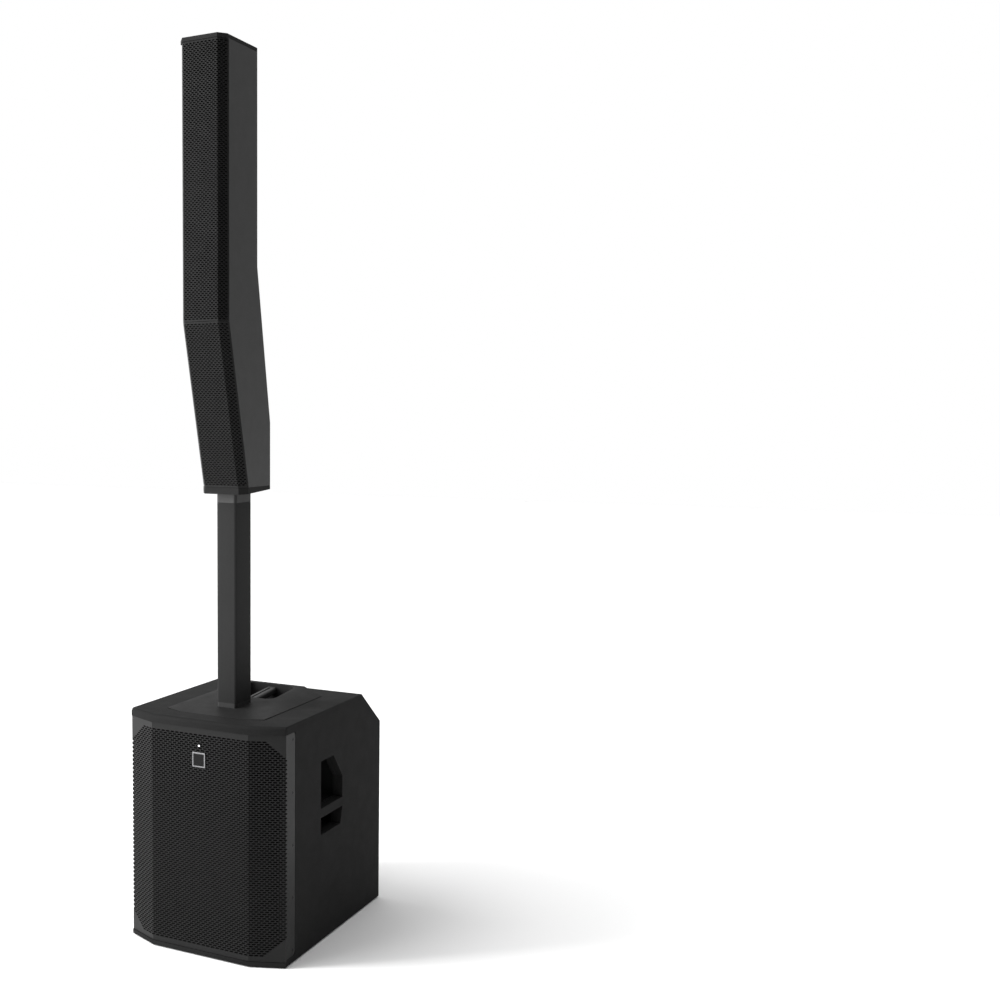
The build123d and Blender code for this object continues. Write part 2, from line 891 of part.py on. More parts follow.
def amp_panel():
    y_rim = back - amp_rebate
    rim = block(
        -amp_half - amp_flange, amp_half + amp_flange, y_rim - amp_sheet, y_rim,
        tray_low - amp_flange, tray_high + amp_flange,
    )
    tray = block(-amp_half, amp_half, amp_floor_y - amp_floor, y_rim, tray_low, tray_high)
    panel = rim + tray
    panel -= block(
        -amp_half + amp_sheet, amp_half - amp_sheet, amp_floor_y, back + 1,
        tray_low + amp_sheet, tray_high - amp_sheet,
    )
    through = (amp_floor_y - amp_floor - 1, amp_floor_y + 1)
    for x, z in control_places():
        panel -= rod_y(shaft_radius + shaft_gap, x, z, *through)
    combo, line = socket_places()
    half = socket_half - 2 + seat_gap
    for x, z in combo + line:
        panel -= block(x - half, x + half, *through, z - half, z + half)
    body = inlet_half_x - 2
    panel -= block(
        inlet_x - body - seat_gap, inlet_x + body + seat_gap, *through,
        inlet_low + 2 - seat_gap, inlet_high - 2 + seat_gap,
    )
    panel -= block(
        encoder_x - window_half, encoder_x + window_half, amp_floor_y - window_sheet, amp_floor_y + 1,
        window_low, window_high,
    )
    for x, z in amp_screw_places():
        panel -= rod_y(amp_screw_radius + hole_gap, x, z, y_rim - 5, y_rim + 1)
    return panel


def amp_screws():
    y_rim = back - amp_rebate
    screws = []
    for x, z in amp_screw_places():
        head = rod_y(amp_screw_head, x, z, y_rim, y_rim + 2)
        screws.append(head + rod_y(amp_screw_radius, x, z, back - board + 1, y_rim))
    return Compound(children=screws)


def display_window():
    return block(
        encoder_x - window_half + hole_gap, encoder_x + window_half - hole_gap,
        amp_floor_y - window_sheet, amp_floor_y, window_low + hole_gap, window_high - hole_gap,
    )


def amp_heatsink():
    sink = block(-sink_half, sink_half, amp_floor_y, amp_floor_y + 3, sink_low, sink_high)
    for i in range(fin_count):
        x = -sink_half + 2 + i * (2 * sink_half - 4) / (fin_count - 1)
        sink += block(x - 1, x + 1, amp_floor_y + 3, amp_floor_y + 3 + fin_height, sink_low, sink_high)
    return sink


def combo_sockets():
    sockets = []
    for x, z in socket_places()[0]:
        body = block(
            x - socket_half + 2, x + socket_half - 2, amp_floor_y - amp_floor - board_gap, amp_floor_y,
            z - socket_half + 2, z + socket_half - 2,
        )
        body += block(
            x - socket_half, x + socket_half, amp_floor_y, amp_floor_y + socket_flange,
            z - socket_half, z + socket_half,
        )
        mouth = amp_floor_y + socket_flange
        body -= rod_y(9.7, x, z, mouth - 12, mouth + 1) - rod_y(8.2, x, z, mouth - 14, mouth + 2)
        body -= rod_y(jack_radius, x, z, mouth - jack_length, mouth + 1)
        sockets.append(body)
    return Compound(children=sockets)


def line_sockets():
    sockets = []
    for x, z in socket_places()[1]:
        body = block(
            x - socket_half + 2, x + socket_half - 2, amp_floor_y - amp_floor - board_gap, amp_floor_y,
            z - socket_half + 2, z + socket_half - 2,
        )
        body += rod_y(socket_half - 3, x, z, amp_floor_y, amp_floor_y + socket_flange)
        mouth = amp_floor_y + socket_flange
        body -= rod_y(jack_radius, x, z, mouth - jack_length, mouth + 1)
        sockets.append(body)
    return Compound(children=sockets)


def mains_inlet():
    body = inlet_half_x - 2
    mouth = amp_floor_y + inlet_flange
    inlet = block(
        inlet_x - body, inlet_x + body, mouth - inlet_depth, amp_floor_y,
        inlet_low + 2, inlet_high - 2,
    )
    inlet += block(
        inlet_x - inlet_half_x, inlet_x + inlet_half_x, amp_floor_y, mouth, inlet_low, inlet_high
    )
    inlet -= block(
        inlet_x - inlet_cavity_x, inlet_x + inlet_cavity_x, mouth - inlet_cavity_depth, mouth + 1,
        inlet_cavity_low, inlet_cavity_high,
    )
    for dx, z in ((-6, inlet_cavity_low + 6), (0, inlet_cavity_low + 10.5), (6, inlet_cavity_low + 6)):
        inlet += block(
            inlet_x + dx - 1, inlet_x + dx + 1, mouth - inlet_cavity_depth, mouth - 4, z - 2, z + 2
        )
    inlet -= block(
        inlet_x - rocker_half_x, inlet_x + rocker_half_x, mouth - 12, mouth + 1, rocker_low, rocker_high
    )
    for sign in (-1, 1):
        inlet -= rod_x(
            1.5 + shaft_gap, mouth - 4, (rocker_low + rocker_high) / 2,
            *span(1, inlet_x + sign * (rocker_half_x - 1), inlet_x + sign * (rocker_half_x + 3)),
        )
    return inlet


def power_rocker():
    """Rocker that tips about a pin along X; its face is a shallow V."""
    mouth = amp_floor_y + inlet_flange
    z = (rocker_low + rocker_high) / 2
    reach = (rocker_high - rocker_low) / 2 - 1.0
    outline = [
        (mouth - 8, z - 6), (mouth + 1.5, z - reach), (mouth + 0.5, z), (mouth + 4.5, z + reach),
        (mouth - 8, z + 6),
    ]
    half = rocker_half_x - 0.4
    rocker = slab_x(outline, inlet_x - half, inlet_x + half)
    return rocker + rod_x(1.5, mouth - 4, z, inlet_x - rocker_half_x - 2.5, inlet_x + rocker_half_x + 2.5)


def knob(x, z, radius):
    foot = amp_floor_y + knob_clearance
    face = foot + knob_height
    skirt = rod_y(radius, x, z, foot, face)
    skirt = fillet(skirt.faces().sort_by(Axis.Y)[-1].edges(), 1.2)
    skirt -= block(x - 0.6, x + 0.6, face - 0.8, face + 1, z, z + radius + 1)
    return skirt + rod_y(shaft_radius, x, z, amp_floor_y - amp_floor - 8, amp_floor_y + 1)


def amp_board():
    face = amp_floor_y - amp_floor - board_gap
    x0 = -amp_half + 12
    x1 = inlet_x - inlet_half_x - 4
    z0 = line_row - 24
    z1 = tray_high - 8
    pcb = block(x0, x1, face - circuit_board, face, z0, z1)
    for x in (x0 + 6, x1 - 6):
        for z in (z0 + 6, z1 - 6):
            pcb += rod_y(3, x, z, face, amp_floor_y - amp_floor)
    for x, z in control_places():
        pcb += block(x - 7, x + 7, face, amp_floor_y - amp_floor - 8.3, z - 7, z + 7)
    for i in range(5):
        x = x0 + 26 + i * 34
        pcb += block(x - 8, x + 8, face - circuit_board - 12, face - circuit_board, z1 - 60, z1 - 20)
    return pcb


def power_supply():
    face = amp_floor_y - amp_floor
    supply = block(-sink_half, sink_half, face - 4, face, sink_low, sink_high)
    supply += block(-100, -40, face - 46, face - 4, sink_low + 4, sink_high - 4)
    for i in range(3):
        supply += rod_y(14, -10 + i * 34, (sink_low + sink_high) / 2 - 22, face - 40, face - 4)
    supply += block(-15, 85, face - 30, face - 4, sink_high - 40, sink_high - 12)
    return supply


# ---- column ----
def column_bar(shrink, z0, z1):
    corner = max(column_corner - shrink, 1.0)
    return round_bar_z(column_width - 2 * shrink, column_depth - 2 * shrink, corner, column_y, z0, z1)


tube_low = top + column_band
collar_low = array_low - collar_height
insert_length = 40.0
cable_radius = 4.0
wiring_low = top - socket_depth + 30
wiring_high = array_low + 30


def pole_tube():
    return column_bar(0.0, tube_low, collar_low) - column_bar(column_wall, tube_low - 1, collar_low + 1)


def pole_bottom_fitting():
    floor = top - socket_depth
    fitting = column_bar(0.0, floor, tube_low)
    fitting += column_bar(column_wall + hole_gap, tube_low, tube_low + insert_length)
    fitting -= block(
        -contact_half_x - fit_gap, contact_half_x + fit_gap,
        column_y - contact_half_y - fit_gap, column_y + contact_half_y + fit_gap,
        floor - 1, floor + contact_height + 3 + fit_gap,
    )
    return fitting - rod_z(cable_radius + hole_gap, 0, column_y, wiring_low, tube_low + insert_length + 1)


def pole_top_fitting():
    fitting = column_bar(0.0, collar_low, array_low)
    fitting += column_bar(column_wall + hole_gap, collar_low - insert_length, collar_low)
    fitting += column_bar(spigot_inset, array_low, array_low + spigot_height)
    bore_low = collar_low - insert_length - 1
    return fitting - rod_z(cable_radius + hole_gap, 0, column_y, bore_low, wiring_high)


def pole_wiring():
    return rod_z(cable_radius, 0, column_y, wiring_low, wiring_high)


# ---- array ----
def array_rear_y(z):
    """Y of the array's back at a height."""
    run = array_back_bend_high - array_back_bend_low
    down = min(max(base + array_back_bend_high - z, 0.0), run)
    return front + array_back + down * (array_foot_back - array_back) / run


def array_side_view(front_inset, rear_inset, z0, z1):
    """Side view of the array between two heights, with its face and back moved in."""
    bends = [base + array_back_bend_high, base + array_back_bend_low]
    face = [(array_face_y(z) + front_inset, z) for z in (z0, bend_z, z1)]
    rear = [(array_rear_y(z) - rear_inset, z) for z in [z1] + bends + [z0]]
    return face + rear


def array_housing():
    side_view = array_side_view(array_facet + housing_setback, 0.0, cap_seam_low, cap_seam_high)
    outer = slab_x(side_view, -array_half, array_half)
    rear_edges = [
        e for e in outer.edges()
        if abs(abs(e.center().X) - array_half) < 1
        and abs(e.center().Y - array_rear_y(e.center().Z)) < 1
        and e.length > 20
    ]
    outer = fillet(rear_edges, array_round)
    hollow = slab_x(
        array_side_view(-50.0, array_wall, cap_seam_low - 1, cap_seam_high + 1),
        -array_half + array_wall, array_half - array_wall,
    )
    return outer - hollow


def array_plan(face_grow):
    """Plan of the array at its top, with its folded front moved out by face_grow."""
    line = array_line(-face_grow, 0.0)
    return line + [(array_half, front + array_back), (-array_half, front + array_back)]


def array_top_cap():
    cap = slab_z(array_plan(cap_overhang), cap_seam_high, array_high)
    rear = [e for e in cap.edges().filter_by(Axis.Z) if e.center().Y > front + array_back - 1]
    cap = fillet(rear, array_round)
    return fillet(cap.faces().sort_by(Axis.Z)[-1].edges(), 1.5)


def array_bottom_cap():
    shift = array_face_y(array_low) - front - array_front
    line = [(x, y + shift) for x, y in array_line(-cap_overhang, 0.0)]
    rear_y = front + array_foot_back
    plan = line + [(array_half, rear_y), (-array_half, rear_y)]
    side_view = [
        (front, array_low), (array_face_y(array_low), array_low), (rear_y, array_low + bottom_cap_rise),
        (rear_y, cap_seam_low), (front, cap_seam_low),
    ]
    cap = slab_z(plan, array_low, cap_seam_low) & slab_x(side_view, -side, side)
    rear = [e for e in cap.edges().filter_by(Axis.Z) if e.center().Y > rear_y - 1]
    cap = fillet(rear, array_round)
    cap += column_bar(0.0, array_low, cap_seam_low)
    cap += column_bar(-array_wall + spigot_inset, cap_seam_low, array_low + spigot_height + array_wall)
    return cap - column_bar(spigot_inset - fit_gap, array_low - 1, array_low + spigot_height + fit_gap)


def array_upper_grille():
    outline = array_line(0.0, array_shadow) + array_line(array_sheet, array_shadow)[::-1]
    return slab_z(outline, bend_z + bend_seam / 2, cap_seam_high - seat_gap)


def lower_prism(outline, z_high, z_low):
    """Plan outline given at the bend, filled down along the leaning foot."""
    drop = bend_z - z_low + 1
    lean = array_lean / (array_bend - array_bottom)
    direction = Vector(0, lean, -1)
    length = drop * direction.length
    face = Plane.XY.offset(bend_z) * make_face(Polyline(*outline, close=True))
    prism = extrude(face, amount=length, dir=direction.normalized())
    return prism & block(-side, side, front - 50, back, z_low, z_high)


def array_lower_grille():
    outline = array_line(0.0, array_shadow) + array_line(array_sheet, array_shadow)[::-1]
    return lower_prism(outline, bend_z - bend_seam / 2, cap_seam_low + seat_gap)


def baffle_face_y(z):
    return array_face_y(z) + array_facet + array_baffle_setback


def driver_places():
    """Upper and lower driver places on the baffle's face."""
    first = bend_z + driver_margin + driver_radius
    upper = [Pos(0, baffle_face_y(first), first + i * driver_pitch) for i in range(upper_drivers)]
    lower = []
    for i in range(lower_drivers):
        along = driver_margin + driver_radius + i * driver_pitch
        z = bend_z - along * math.cos(math.radians(lean_angle))
        lower.append(Pos(0, baffle_face_y(z), z) * Rot(lean_angle, 0, 0))
    return upper, lower


def array_baffle_board():
    z0 = cap_seam_low
    z1 = cap_seam_high
    outline = [(baffle_face_y(z), z) for z in (z0, bend_z, z1)]
    outline += [(baffle_face_y(z) + array_baffle, z) for z in (z1, bend_z, z0)]
    half = array_half - array_wall
    baffle = slab_x(outline, -half, half)
    baffle -= column_bar(-seat_gap, z0 - 1, array_low + spigot_height + array_wall + seat_gap)
    upper, lower = driver_places()
    for place in upper + lower:
        baffle -= place * rod_y(driver_hole_radius, 0, 0, -10, 20)
    return baffle


def driver_frames():
    rim = driver_hole_radius - 0.5
    profile = [
        (31, -driver_flange), (driver_radius, -driver_flange), (driver_radius, 0), (rim, 0), (rim, 8),
        (24, driver_rear), (14, driver_rear), (14, driver_rear - 2), (22, driver_rear - 2), (31, 9),
    ]
    upper, lower = driver_places()
    return Compound(children=[place * turned(profile) for place in upper + lower])


def driver_magnets():
    cup = turned([
        (0, driver_rear), (9, driver_rear), (9, 32), (12.5, 32), (12.5, driver_rear), (21, driver_rear),
        (21, driver_depth), (0, driver_depth),
    ])
    upper, lower = driver_places()
    return Compound(children=[place * cup for place in upper + lower])


roll_middle = 30.0
roll_radius = 4.0
roll_sheet = 0.8
roll_lip = 2.5


def driver_surrounds(places):
    roll = half_roll(roll_middle, roll_radius, roll_sheet, roll_lip, -driver_flange)
    return Compound(children=[place * roll for place in places])


def driver_cones(places):
    edge = roll_middle - roll_radius + roll_sheet
    seat = -driver_flange
    profile = [
        (0, 4.0), (5, 4.6), (11, 7.5), (edge - roll_lip, seat), (edge, seat), (edge, seat + 1), (11.4, 10.5),
        (11.4, 26), (10.4, 26), (10.4, 9.0), (5, 5.6), (0, 5.0),
    ]
    return Compound(children=[place * turned(profile) for place in places])


def array_terminal_board():
    rear = array_rear_y(array_low) - array_wall
    z0 = array_low + spigot_height + 15
    pcb = block(-35, 35, rear - 10, rear - 8.4, z0, z0 + 55)
    for x in (-30, 30):
        for z in (z0 + 6, z0 + 49):
            pcb += rod_y(3, x, z, rear - 8.4, rear)
    pcb += block(-20, 20, rear - 22, rear - 10, z0 + 10, z0 + 40)
    return pcb


def rear_pad():
    y = front + array_back
    outline = [
        (y, base + pad_low), (y, base + pad_high), (y + pad_height, base + pad_high - pad_chamfer),
        (y + pad_height, base + pad_low + pad_chamfer),
    ]
    return slab_x(outline, -pad_half, pad_half)


upper_places, lower_places = driver_places()

nodes = {
    "top_panel": top_panel(),
    "bottom_panel": bottom_panel(),
    "left_side_panel": side_panel(-1),
    "right_side_panel": side_panel(1),
    "rear_panel": rear_panel(),
    "rear_slope_panel": rear_slope_panel(),
    "front_baffle": front_baffle(),
    "port_duct": port_duct(),
    "window_brace": window_brace(),
    "left_handle_cup": handle_cup(-1),
    "right_handle_cup": handle_cup(1),
    "top_deck": top_deck(),
    "carry_handle": carry_handle(),
    "dock_contacts": dock_contacts(),
    "sub_grille": sub_grille(),
    "grille_foam": grille_foam(),
    "grille_screws": grille_screws(),
    "front_badge": front_badge(),
    "status_led": status_led(),
    "rubber_feet": rubber_feet(),
    "foot_screws": foot_screws(),
    "woofer_basket": woofer_basket(),
    "woofer_magnet": woofer_magnet(),
    "woofer_screws": woofer_screws(),
    "woofer_surround": woofer_surround(),
    "woofer_spider": woofer_spider(),
    "woofer_cone": woofer_cone(),
    "voice_coil": voice_coil(),
    "amp_panel": amp_panel(),
    "amp_heatsink": amp_heatsink(),
    "amp_board": amp_board(),
    "power_supply": power_supply(),
    "mains_inlet": mains_inlet(),
    "combo_sockets": combo_sockets(),
    "line_sockets": line_sockets(),
    "amp_screws": amp_screws(),
    "display_window": display_window(),
    "encoder_knob": knob(encoder_x, encoder_row, encoder_radius),
    "channel_1_knob": knob(channel_places[0], control_row, knob_radius),
    "channel_2_knob": knob(channel_places[1], control_row, knob_radius),
    "power_rocker": power_rocker(),
    "pole_tube": pole_tube(),
    "pole_top_fitting": pole_top_fitting(),
    "pole_bottom_fitting": pole_bottom_fitting(),
    "pole_wiring": pole_wiring(),
    "array_housing": array_housing(),
    "array_top_cap": array_top_cap(),
    "array_bottom_cap": array_bottom_cap(),
    "array_upper_grille": array_upper_grille(),
    "array_lower_grille": array_lower_grille(),
    "array_baffle": array_baffle_board(),
    "driver_frames": driver_frames(),
    "driver_magnets": driver_magnets(),
    "upper_driver_surrounds": driver_surrounds(upper_places),
    "lower_driver_surrounds": driver_surrounds(lower_places),
    "upper_driver_cones": driver_cones(upper_places),
    "lower_driver_cones": driver_cones(lower_places),
    "array_terminal_board": array_terminal_board(),
    "rear_pad": rear_pad(),
}

for node_name, shape in nodes.items():
    save(node_name, shape)
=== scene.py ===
import json
import math

import bmesh
import bpy
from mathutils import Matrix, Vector, noise


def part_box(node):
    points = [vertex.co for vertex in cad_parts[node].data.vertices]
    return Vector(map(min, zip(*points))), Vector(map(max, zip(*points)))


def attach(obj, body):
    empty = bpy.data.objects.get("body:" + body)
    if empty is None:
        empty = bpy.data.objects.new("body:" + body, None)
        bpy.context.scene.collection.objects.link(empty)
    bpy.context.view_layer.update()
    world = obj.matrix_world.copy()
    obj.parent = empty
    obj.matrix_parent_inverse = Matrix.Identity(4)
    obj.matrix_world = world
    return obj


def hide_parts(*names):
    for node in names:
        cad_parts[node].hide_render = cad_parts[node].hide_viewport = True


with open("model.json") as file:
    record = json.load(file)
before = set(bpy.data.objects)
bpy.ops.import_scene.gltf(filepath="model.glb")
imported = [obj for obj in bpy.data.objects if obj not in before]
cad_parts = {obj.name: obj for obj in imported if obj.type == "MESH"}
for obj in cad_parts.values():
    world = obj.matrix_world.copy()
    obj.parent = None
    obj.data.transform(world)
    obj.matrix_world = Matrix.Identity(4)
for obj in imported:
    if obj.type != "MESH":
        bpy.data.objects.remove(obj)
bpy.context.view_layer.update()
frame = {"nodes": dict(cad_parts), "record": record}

nodes = frame["nodes"]

MM = 0.001
TINY = 1e-7                  # lengths closer than this, in metres, are the same

# ---- sizes of the looks, in millimetres ----
SUB_FACE = 233.0             # straight part of the cabinet's front
SUB_SHEET = 1.5
SUB_SLOT = (9.2, 3.5)        # width and height of one slot in the cabinet's grille
SUB_FACE_COLUMNS = 41        # half pitches of the slots across the centre facet
SUB_FACET_COLUMNS = 14
SUB_ROWS = 98
SUB_MARGIN_ROWS = 2          # rows of plain metal above and below the slots
SUB_FIELD_TOP = 14.5         # first row of slots, below the grille's top edge
SUB_FIELD_BOTTOM = 12.7      # last row of slots, above the grille's bottom edge
SUB_CORNER_COLUMNS = 6.9     # half pitches of slots on the side facet in the top row
FLANGE_REACH = 39.2          # how far the grille's flange runs back
FLANGE_STEP = 2.0
FLANGE_CORNER = 8.0
FLANGE_DROP = 5.0            # the flange starts this much above the grille's bottom edge
FLANGE_EASE = 24.0           # height over which it does
SCREW_INSET = 0.4            # grille flange's face, inside the screw heads
ARRAY_FACE = 80.0
ARRAY_SHEET = 1.2
ARRAY_SLOT = (6.6, 3.0)
ARRAY_FACE_COLUMNS = 18
ARRAY_FACET_COLUMNS = 5
ARRAY_ROW = 3.87
ARRAY_MARGIN = 3.0           # plain metal at the ends of an array grille
ARRAY_GRILLES = ("array_upper_grille", "array_lower_grille")
SUB_FOAM = 4.0
ARRAY_FOAM = 2.0
FOAM_GAP = 0.2
FOAM_GRID = 3.0
FOAM_PORES = 0.35            # height of the foam's bumps
FOAM_BUMPS = 400.0           # bumps in the foam's surface, per metre

# A head's profile is shares of its radius and height, from its rim to the drive recess.
SCREW_HEAD = ((1.0, 0.0), (1.0, 0.55), (0.88, 0.85), (0.6, 1.0), (0.42, 0.98), (0.36, 0.35))
SCREW_RECESS = 4             # first ring of the recess
SCREW_LOBES = 6
SCREW_LOBE_DEPTH = 0.16      # share of the recess's radius
SCREW_SHANK_RADIUS = 2.0
GRILLE_SCREWS = 5            # on each side
GRILLE_SCREW_HEAD = 0.8
GRILLE_SCREW_SHANK = 12.0
AMP_SCREWS = 4               # on each side
AMP_SCREW_RADIUS = 3.8
AMP_SCREW_HEAD = 2.0

# A knob's profile is shares of its radius, and heights measured from its top.
KNOB_HEIGHT = 14.0
KNOB_PROFILE = (
    (0.96, -14.0), (1.0, -13.2), (1.0, -7.0), (0.96, -1.6),
    (0.90, -0.5), (0.80, 0.0), (0.60, -0.4), (0.30, -0.5),
)
KNOB_RIDGES = 28
KNOB_RIDGED_RINGS = (1, 2, 3)
KNOB_RIDGE_DEPTH = 0.045     # share of the knob's radius
KNOB_SHAFT_RADIUS = 3.0
KNOB_SHAFT_OVERLAP = 0.4     # how far the shaft reaches into the knob
POINTER_WIDTH = 1.2
POINTER_DEPTH = 0.5
POINTER_SINK = 0.4           # middle of the pointer, below the knob's top
POINTER_LENGTH = 0.5         # share of the knob's radius
POINTER_OFFSET = 0.55        # middle of the pointer from the knob's axis, as a share of its radius
POINTER_BEVEL = 0.08         # share of each side

BADGE_CORNER = 1.5
BADGE_BEVEL = 0.4
BADGE_RIM = 3.0              # width of the badge's rim
BADGE_SINK = 0.6             # depth of its field below the rim
BADGE_FIELD = (0.5, 0.7)     # front and rear of the dark plate in it, behind the badge's face
LED_DOME = ((0.98, 0.0), (0.98, 0.4), (0.85, 0.7), (0.6, 0.9), (0.25, 1.0))     # radius and height shares

WELD = 0.01
SOFT_ANGLE = 30.0            # degrees: sharper edges are rounded
HARD_ANGLE = 25.0            # degrees: sharper edges stay hard on smooth pieces
SOFT_EDGES = {               # radius of the rounding on each piece
    "carry_handle": 0.6, "array_housing": 0.4, "array_top_cap": 0.4, "array_bottom_cap": 0.6, "rear_pad": 0.6,
    "pole_bottom_fitting": 0.3, "pole_top_fitting": 0.3, "left_handle_cup": 1.2, "right_handle_cup": 1.2,
    "amp_heatsink": 0.3, "combo_sockets": 0.4, "line_sockets": 0.4, "mains_inlet": 0.5,
    "power_rocker": 0.5, "rubber_feet": 0.5, "dock_contacts": 0.3, "display_window": 0.2,
}

# ---- camera and light, in metres and degrees, fitted to the photo ----
CAMERA_LENS = 47.463         # millimetres
CAMERA_SHIFT = (0.2397, 0.0169)
CAMERA_PLACE = (1.4135, -2.5184, 1.1276)
CAMERA_DOWN = 4.452
CAMERA_LEFT = 29.170
SUN_POWER = 2.0
SUN_ANGLE = 50.0
SUN_SIDE = (-0.75, -0.45, 1.0)
KEY_PLACE = (-3.3, -2.6, 1.9)
KEY_TARGET = (0.0, 0.0, 0.9)
KEY_SIZE = (1.1, 3.2)
KEY_POWER = 290.0
FLOOR_HALF = 14.0
# Each fade runs between two values of a direction's component, and gives two brightnesses.
FADE_TO_REAR = (-0.1, 0.55, 0.10, 1.0)
FADE_TO_RIGHT = (0.08, 0.40, 1.0, 0.35)
FADE_TO_CEILING = (0.35, 0.85, 0.0, 0.95)


# ---- small helpers ----
def mm(value):
    return value * MM


def new_object(name, mesh):
    obj = bpy.data.objects.new(name, mesh)
    bpy.context.scene.collection.objects.link(obj)
    return obj


def mesh_object(name, bm, look, smooth=False):
    bmesh.ops.recalc_face_normals(bm, faces=bm.faces)
    mesh = bpy.data.meshes.new(name)
    bm.to_mesh(mesh)
    bm.free()
    mesh.materials.append(looks[look])
    for face in mesh.polygons:
        face.use_smooth = smooth
    return new_object(name, mesh)


def place_piece(obj, body, slot, *replaced):
    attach(obj, body)
    if replaced:
        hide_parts(*replaced)


def spread(*spans):
    """Places along a line from (start, end, count) spans that follow each other."""
    places = [spans[0][0]]
    for start, end, count in spans:
        places += [start + (end - start) * i / count for i in range(1, count + 1)]
    return places


def smooth_and_weld(obj):
    for face in obj.data.polygons:
        face.use_smooth = True
    weld = obj.modifiers.new("weld", "WELD")
    weld.merge_threshold = mm(WELD)


def skin(bm, rings):
    """Joins rings of points into a closed body."""
    for lower, upper in zip(rings, rings[1:]):
        for k in range(len(lower)):
            following = (k + 1) % len(lower)
            bm.faces.new((lower[k], lower[following], upper[following], upper[k]))
    bm.faces.new(rings[0])
    bm.faces.new(rings[-1])


def turn_profile(bm, profile, centre, axis, segments=32, shape=None):
    """Adds a body turned about axis from (radius, height) points; shape(i, angle) scales a ring."""
    axis = Vector(axis).normalized()
    across = axis.orthogonal().normalized()
    upward = axis.cross(across)
    rings = []
    for i, (radius, height) in enumerate(profile):
        ring = []
        for k in range(segments):
            angle = 2 * math.pi * k / segments
            reach = radius * (shape(i, angle) if shape else 1.0)
            point = Vector(centre) + axis * height
            ring.append(bm.verts.new(point + (across * math.cos(angle) + upward * math.sin(angle)) * reach))
        rings.append(ring)
    skin(bm, rings)


# ---- materials ----
class Shader:
    """A Principled material with helpers that add its nodes."""

    def __init__(self, name):
        self.material = bpy.data.materials.new(name)
        self.material.use_nodes = True
        self.tree = self.material.node_tree
        self.surface = self.tree.nodes["Principled BSDF"]
        self.place = self.node("ShaderNodeTexCoord").outputs["Object"]

    def node(self, kind, **settings):
        made = self.tree.nodes.new(kind)
        for key, value in settings.items():
            setattr(made, key, value)
        return made

    def link(self, source, target):
        self.tree.links.new(source, target)

    def drive(self, name, source):
        self.link(source, self.surface.inputs[name])

    def set(self, **values):
        for key, value in values.items():
            self.surface.inputs[key.replace("_", " ")].default_value = value

    def stretched(self, scale):
        mapping = self.node("ShaderNodeMapping")
        mapping.inputs["Scale"].default_value = scale
        self.link(self.place, mapping.inputs["Vector"])
        return mapping.outputs["Vector"]

    def noise(self, scale, detail=2.0, rough=0.5, place=None):
        made = self.node("ShaderNodeTexNoise")
        made.inputs["Scale"].default_value = scale
        made.inputs["Detail"].default_value = detail
        made.inputs["Roughness"].default_value = rough
        self.link(place or self.place, made.inputs["Vector"])
        return made.outputs["Fac"]

    def cells(self, scale, feature="F1"):
        made = self.node("ShaderNodeTexVoronoi", feature=feature)
        made.inputs["Scale"].default_value = scale
        self.link(self.place, made.inputs["Vector"])
        return made.outputs["Distance"]

    def ramp(self, value, low, high, start, end):
        made = self.node("ShaderNodeMapRange")
        for name, number in (("From Min", low), ("From Max", high), ("To Min", start), ("To Max", end)):
            made.inputs[name].default_value = number
        self.link(value, made.inputs["Value"])
        return made.outputs["Result"]

    def times(self, first, second):
        made = self.node("ShaderNodeMath", operation="MULTIPLY")
        self.link(first, made.inputs[0])
        self.link(second, made.inputs[1])
        return made.outputs["Value"]

    def mix(self, factor, first, second):
        """Blends two colours, each an (r, g, b) value or another node's colour."""
        made = self.node("ShaderNodeMixRGB")
        self.link(factor, made.inputs["Fac"])
        for name, colour in (("Color1", first), ("Color2", second)):
            if isinstance(colour, tuple):
                made.inputs[name].default_value = (*colour, 1.0)
            else:
                self.link(colour, made.inputs[name])
        return made.outputs["Color"]

    def bump(self, *layers):
        """Chains bump nodes from (value, height in mm, strength)."""
        normal = None
        for value, height, strength in layers:
            made = self.node("ShaderNodeBump")
            made.inputs["Distance"].default_value = mm(height)
            made.inputs["Strength"].default_value = strength
            self.link(value, made.inputs["Height"])
            if normal:
                self.link(normal, made.inputs["Normal"])
            normal = made.outputs["Normal"]
        self.drive("Normal", normal)

    def edge(self, radius):
        """How close a point is to a hard edge, from 0 to 1."""
        bevel = self.node("ShaderNodeBevel", samples=4)
        bevel.inputs["Radius"].default_value = mm(radius)
        geometry = self.node("ShaderNodeNewGeometry")
        dot = self.node("ShaderNodeVectorMath", operation="DOT_PRODUCT")
        self.link(bevel.outputs["Normal"], dot.inputs[0])
        self.link(geometry.outputs["Normal"], dot.inputs[1])
        return self.ramp(dot.outputs["Value"], 0.98, 0.85, 0.0, 1.0)


def grey(value):
    return (value, value, value)


def paint(name, dark, light, roughness, grain, height, metallic=0.0, wear=0.5, specular=0.5):
    """Matt coating with a fine grain, faint clouds and rubbed edges."""
    shader = Shader(name)
    clouds = shader.ramp(shader.noise(7.0, 5.0, 0.65), 0.30, 0.70, 0.0, 1.0)
    specks = shader.ramp(shader.noise(grain * 0.5, 2.0), 0.35, 0.65, 0.0, 0.5)
    colour = shader.mix(clouds, grey(dark), grey(light))
    colour = shader.mix(specks, colour, grey(light * 1.15))
    if wear:
        patches = shader.ramp(shader.noise(60.0, 3.0, 0.7), 0.40, 0.62, 0.0, wear)
        rubbed = shader.times(shader.edge(0.8), patches)
        colour = shader.mix(rubbed, colour, grey(light * 2.6))
    shader.drive("Base Color", colour)
    smears = shader.ramp(shader.noise(35.0, 3.0), 0.3, 0.7, roughness - 0.03, roughness + 0.03)
    shader.drive("Roughness", smears)
    shader.bump((shader.noise(grain, 3.0, 0.6), height, 0.5), (shader.cells(grain * 0.6), height, 0.35))
    shader.set(Metallic=metallic, Specular_IOR_Level=specular)
    return shader.material


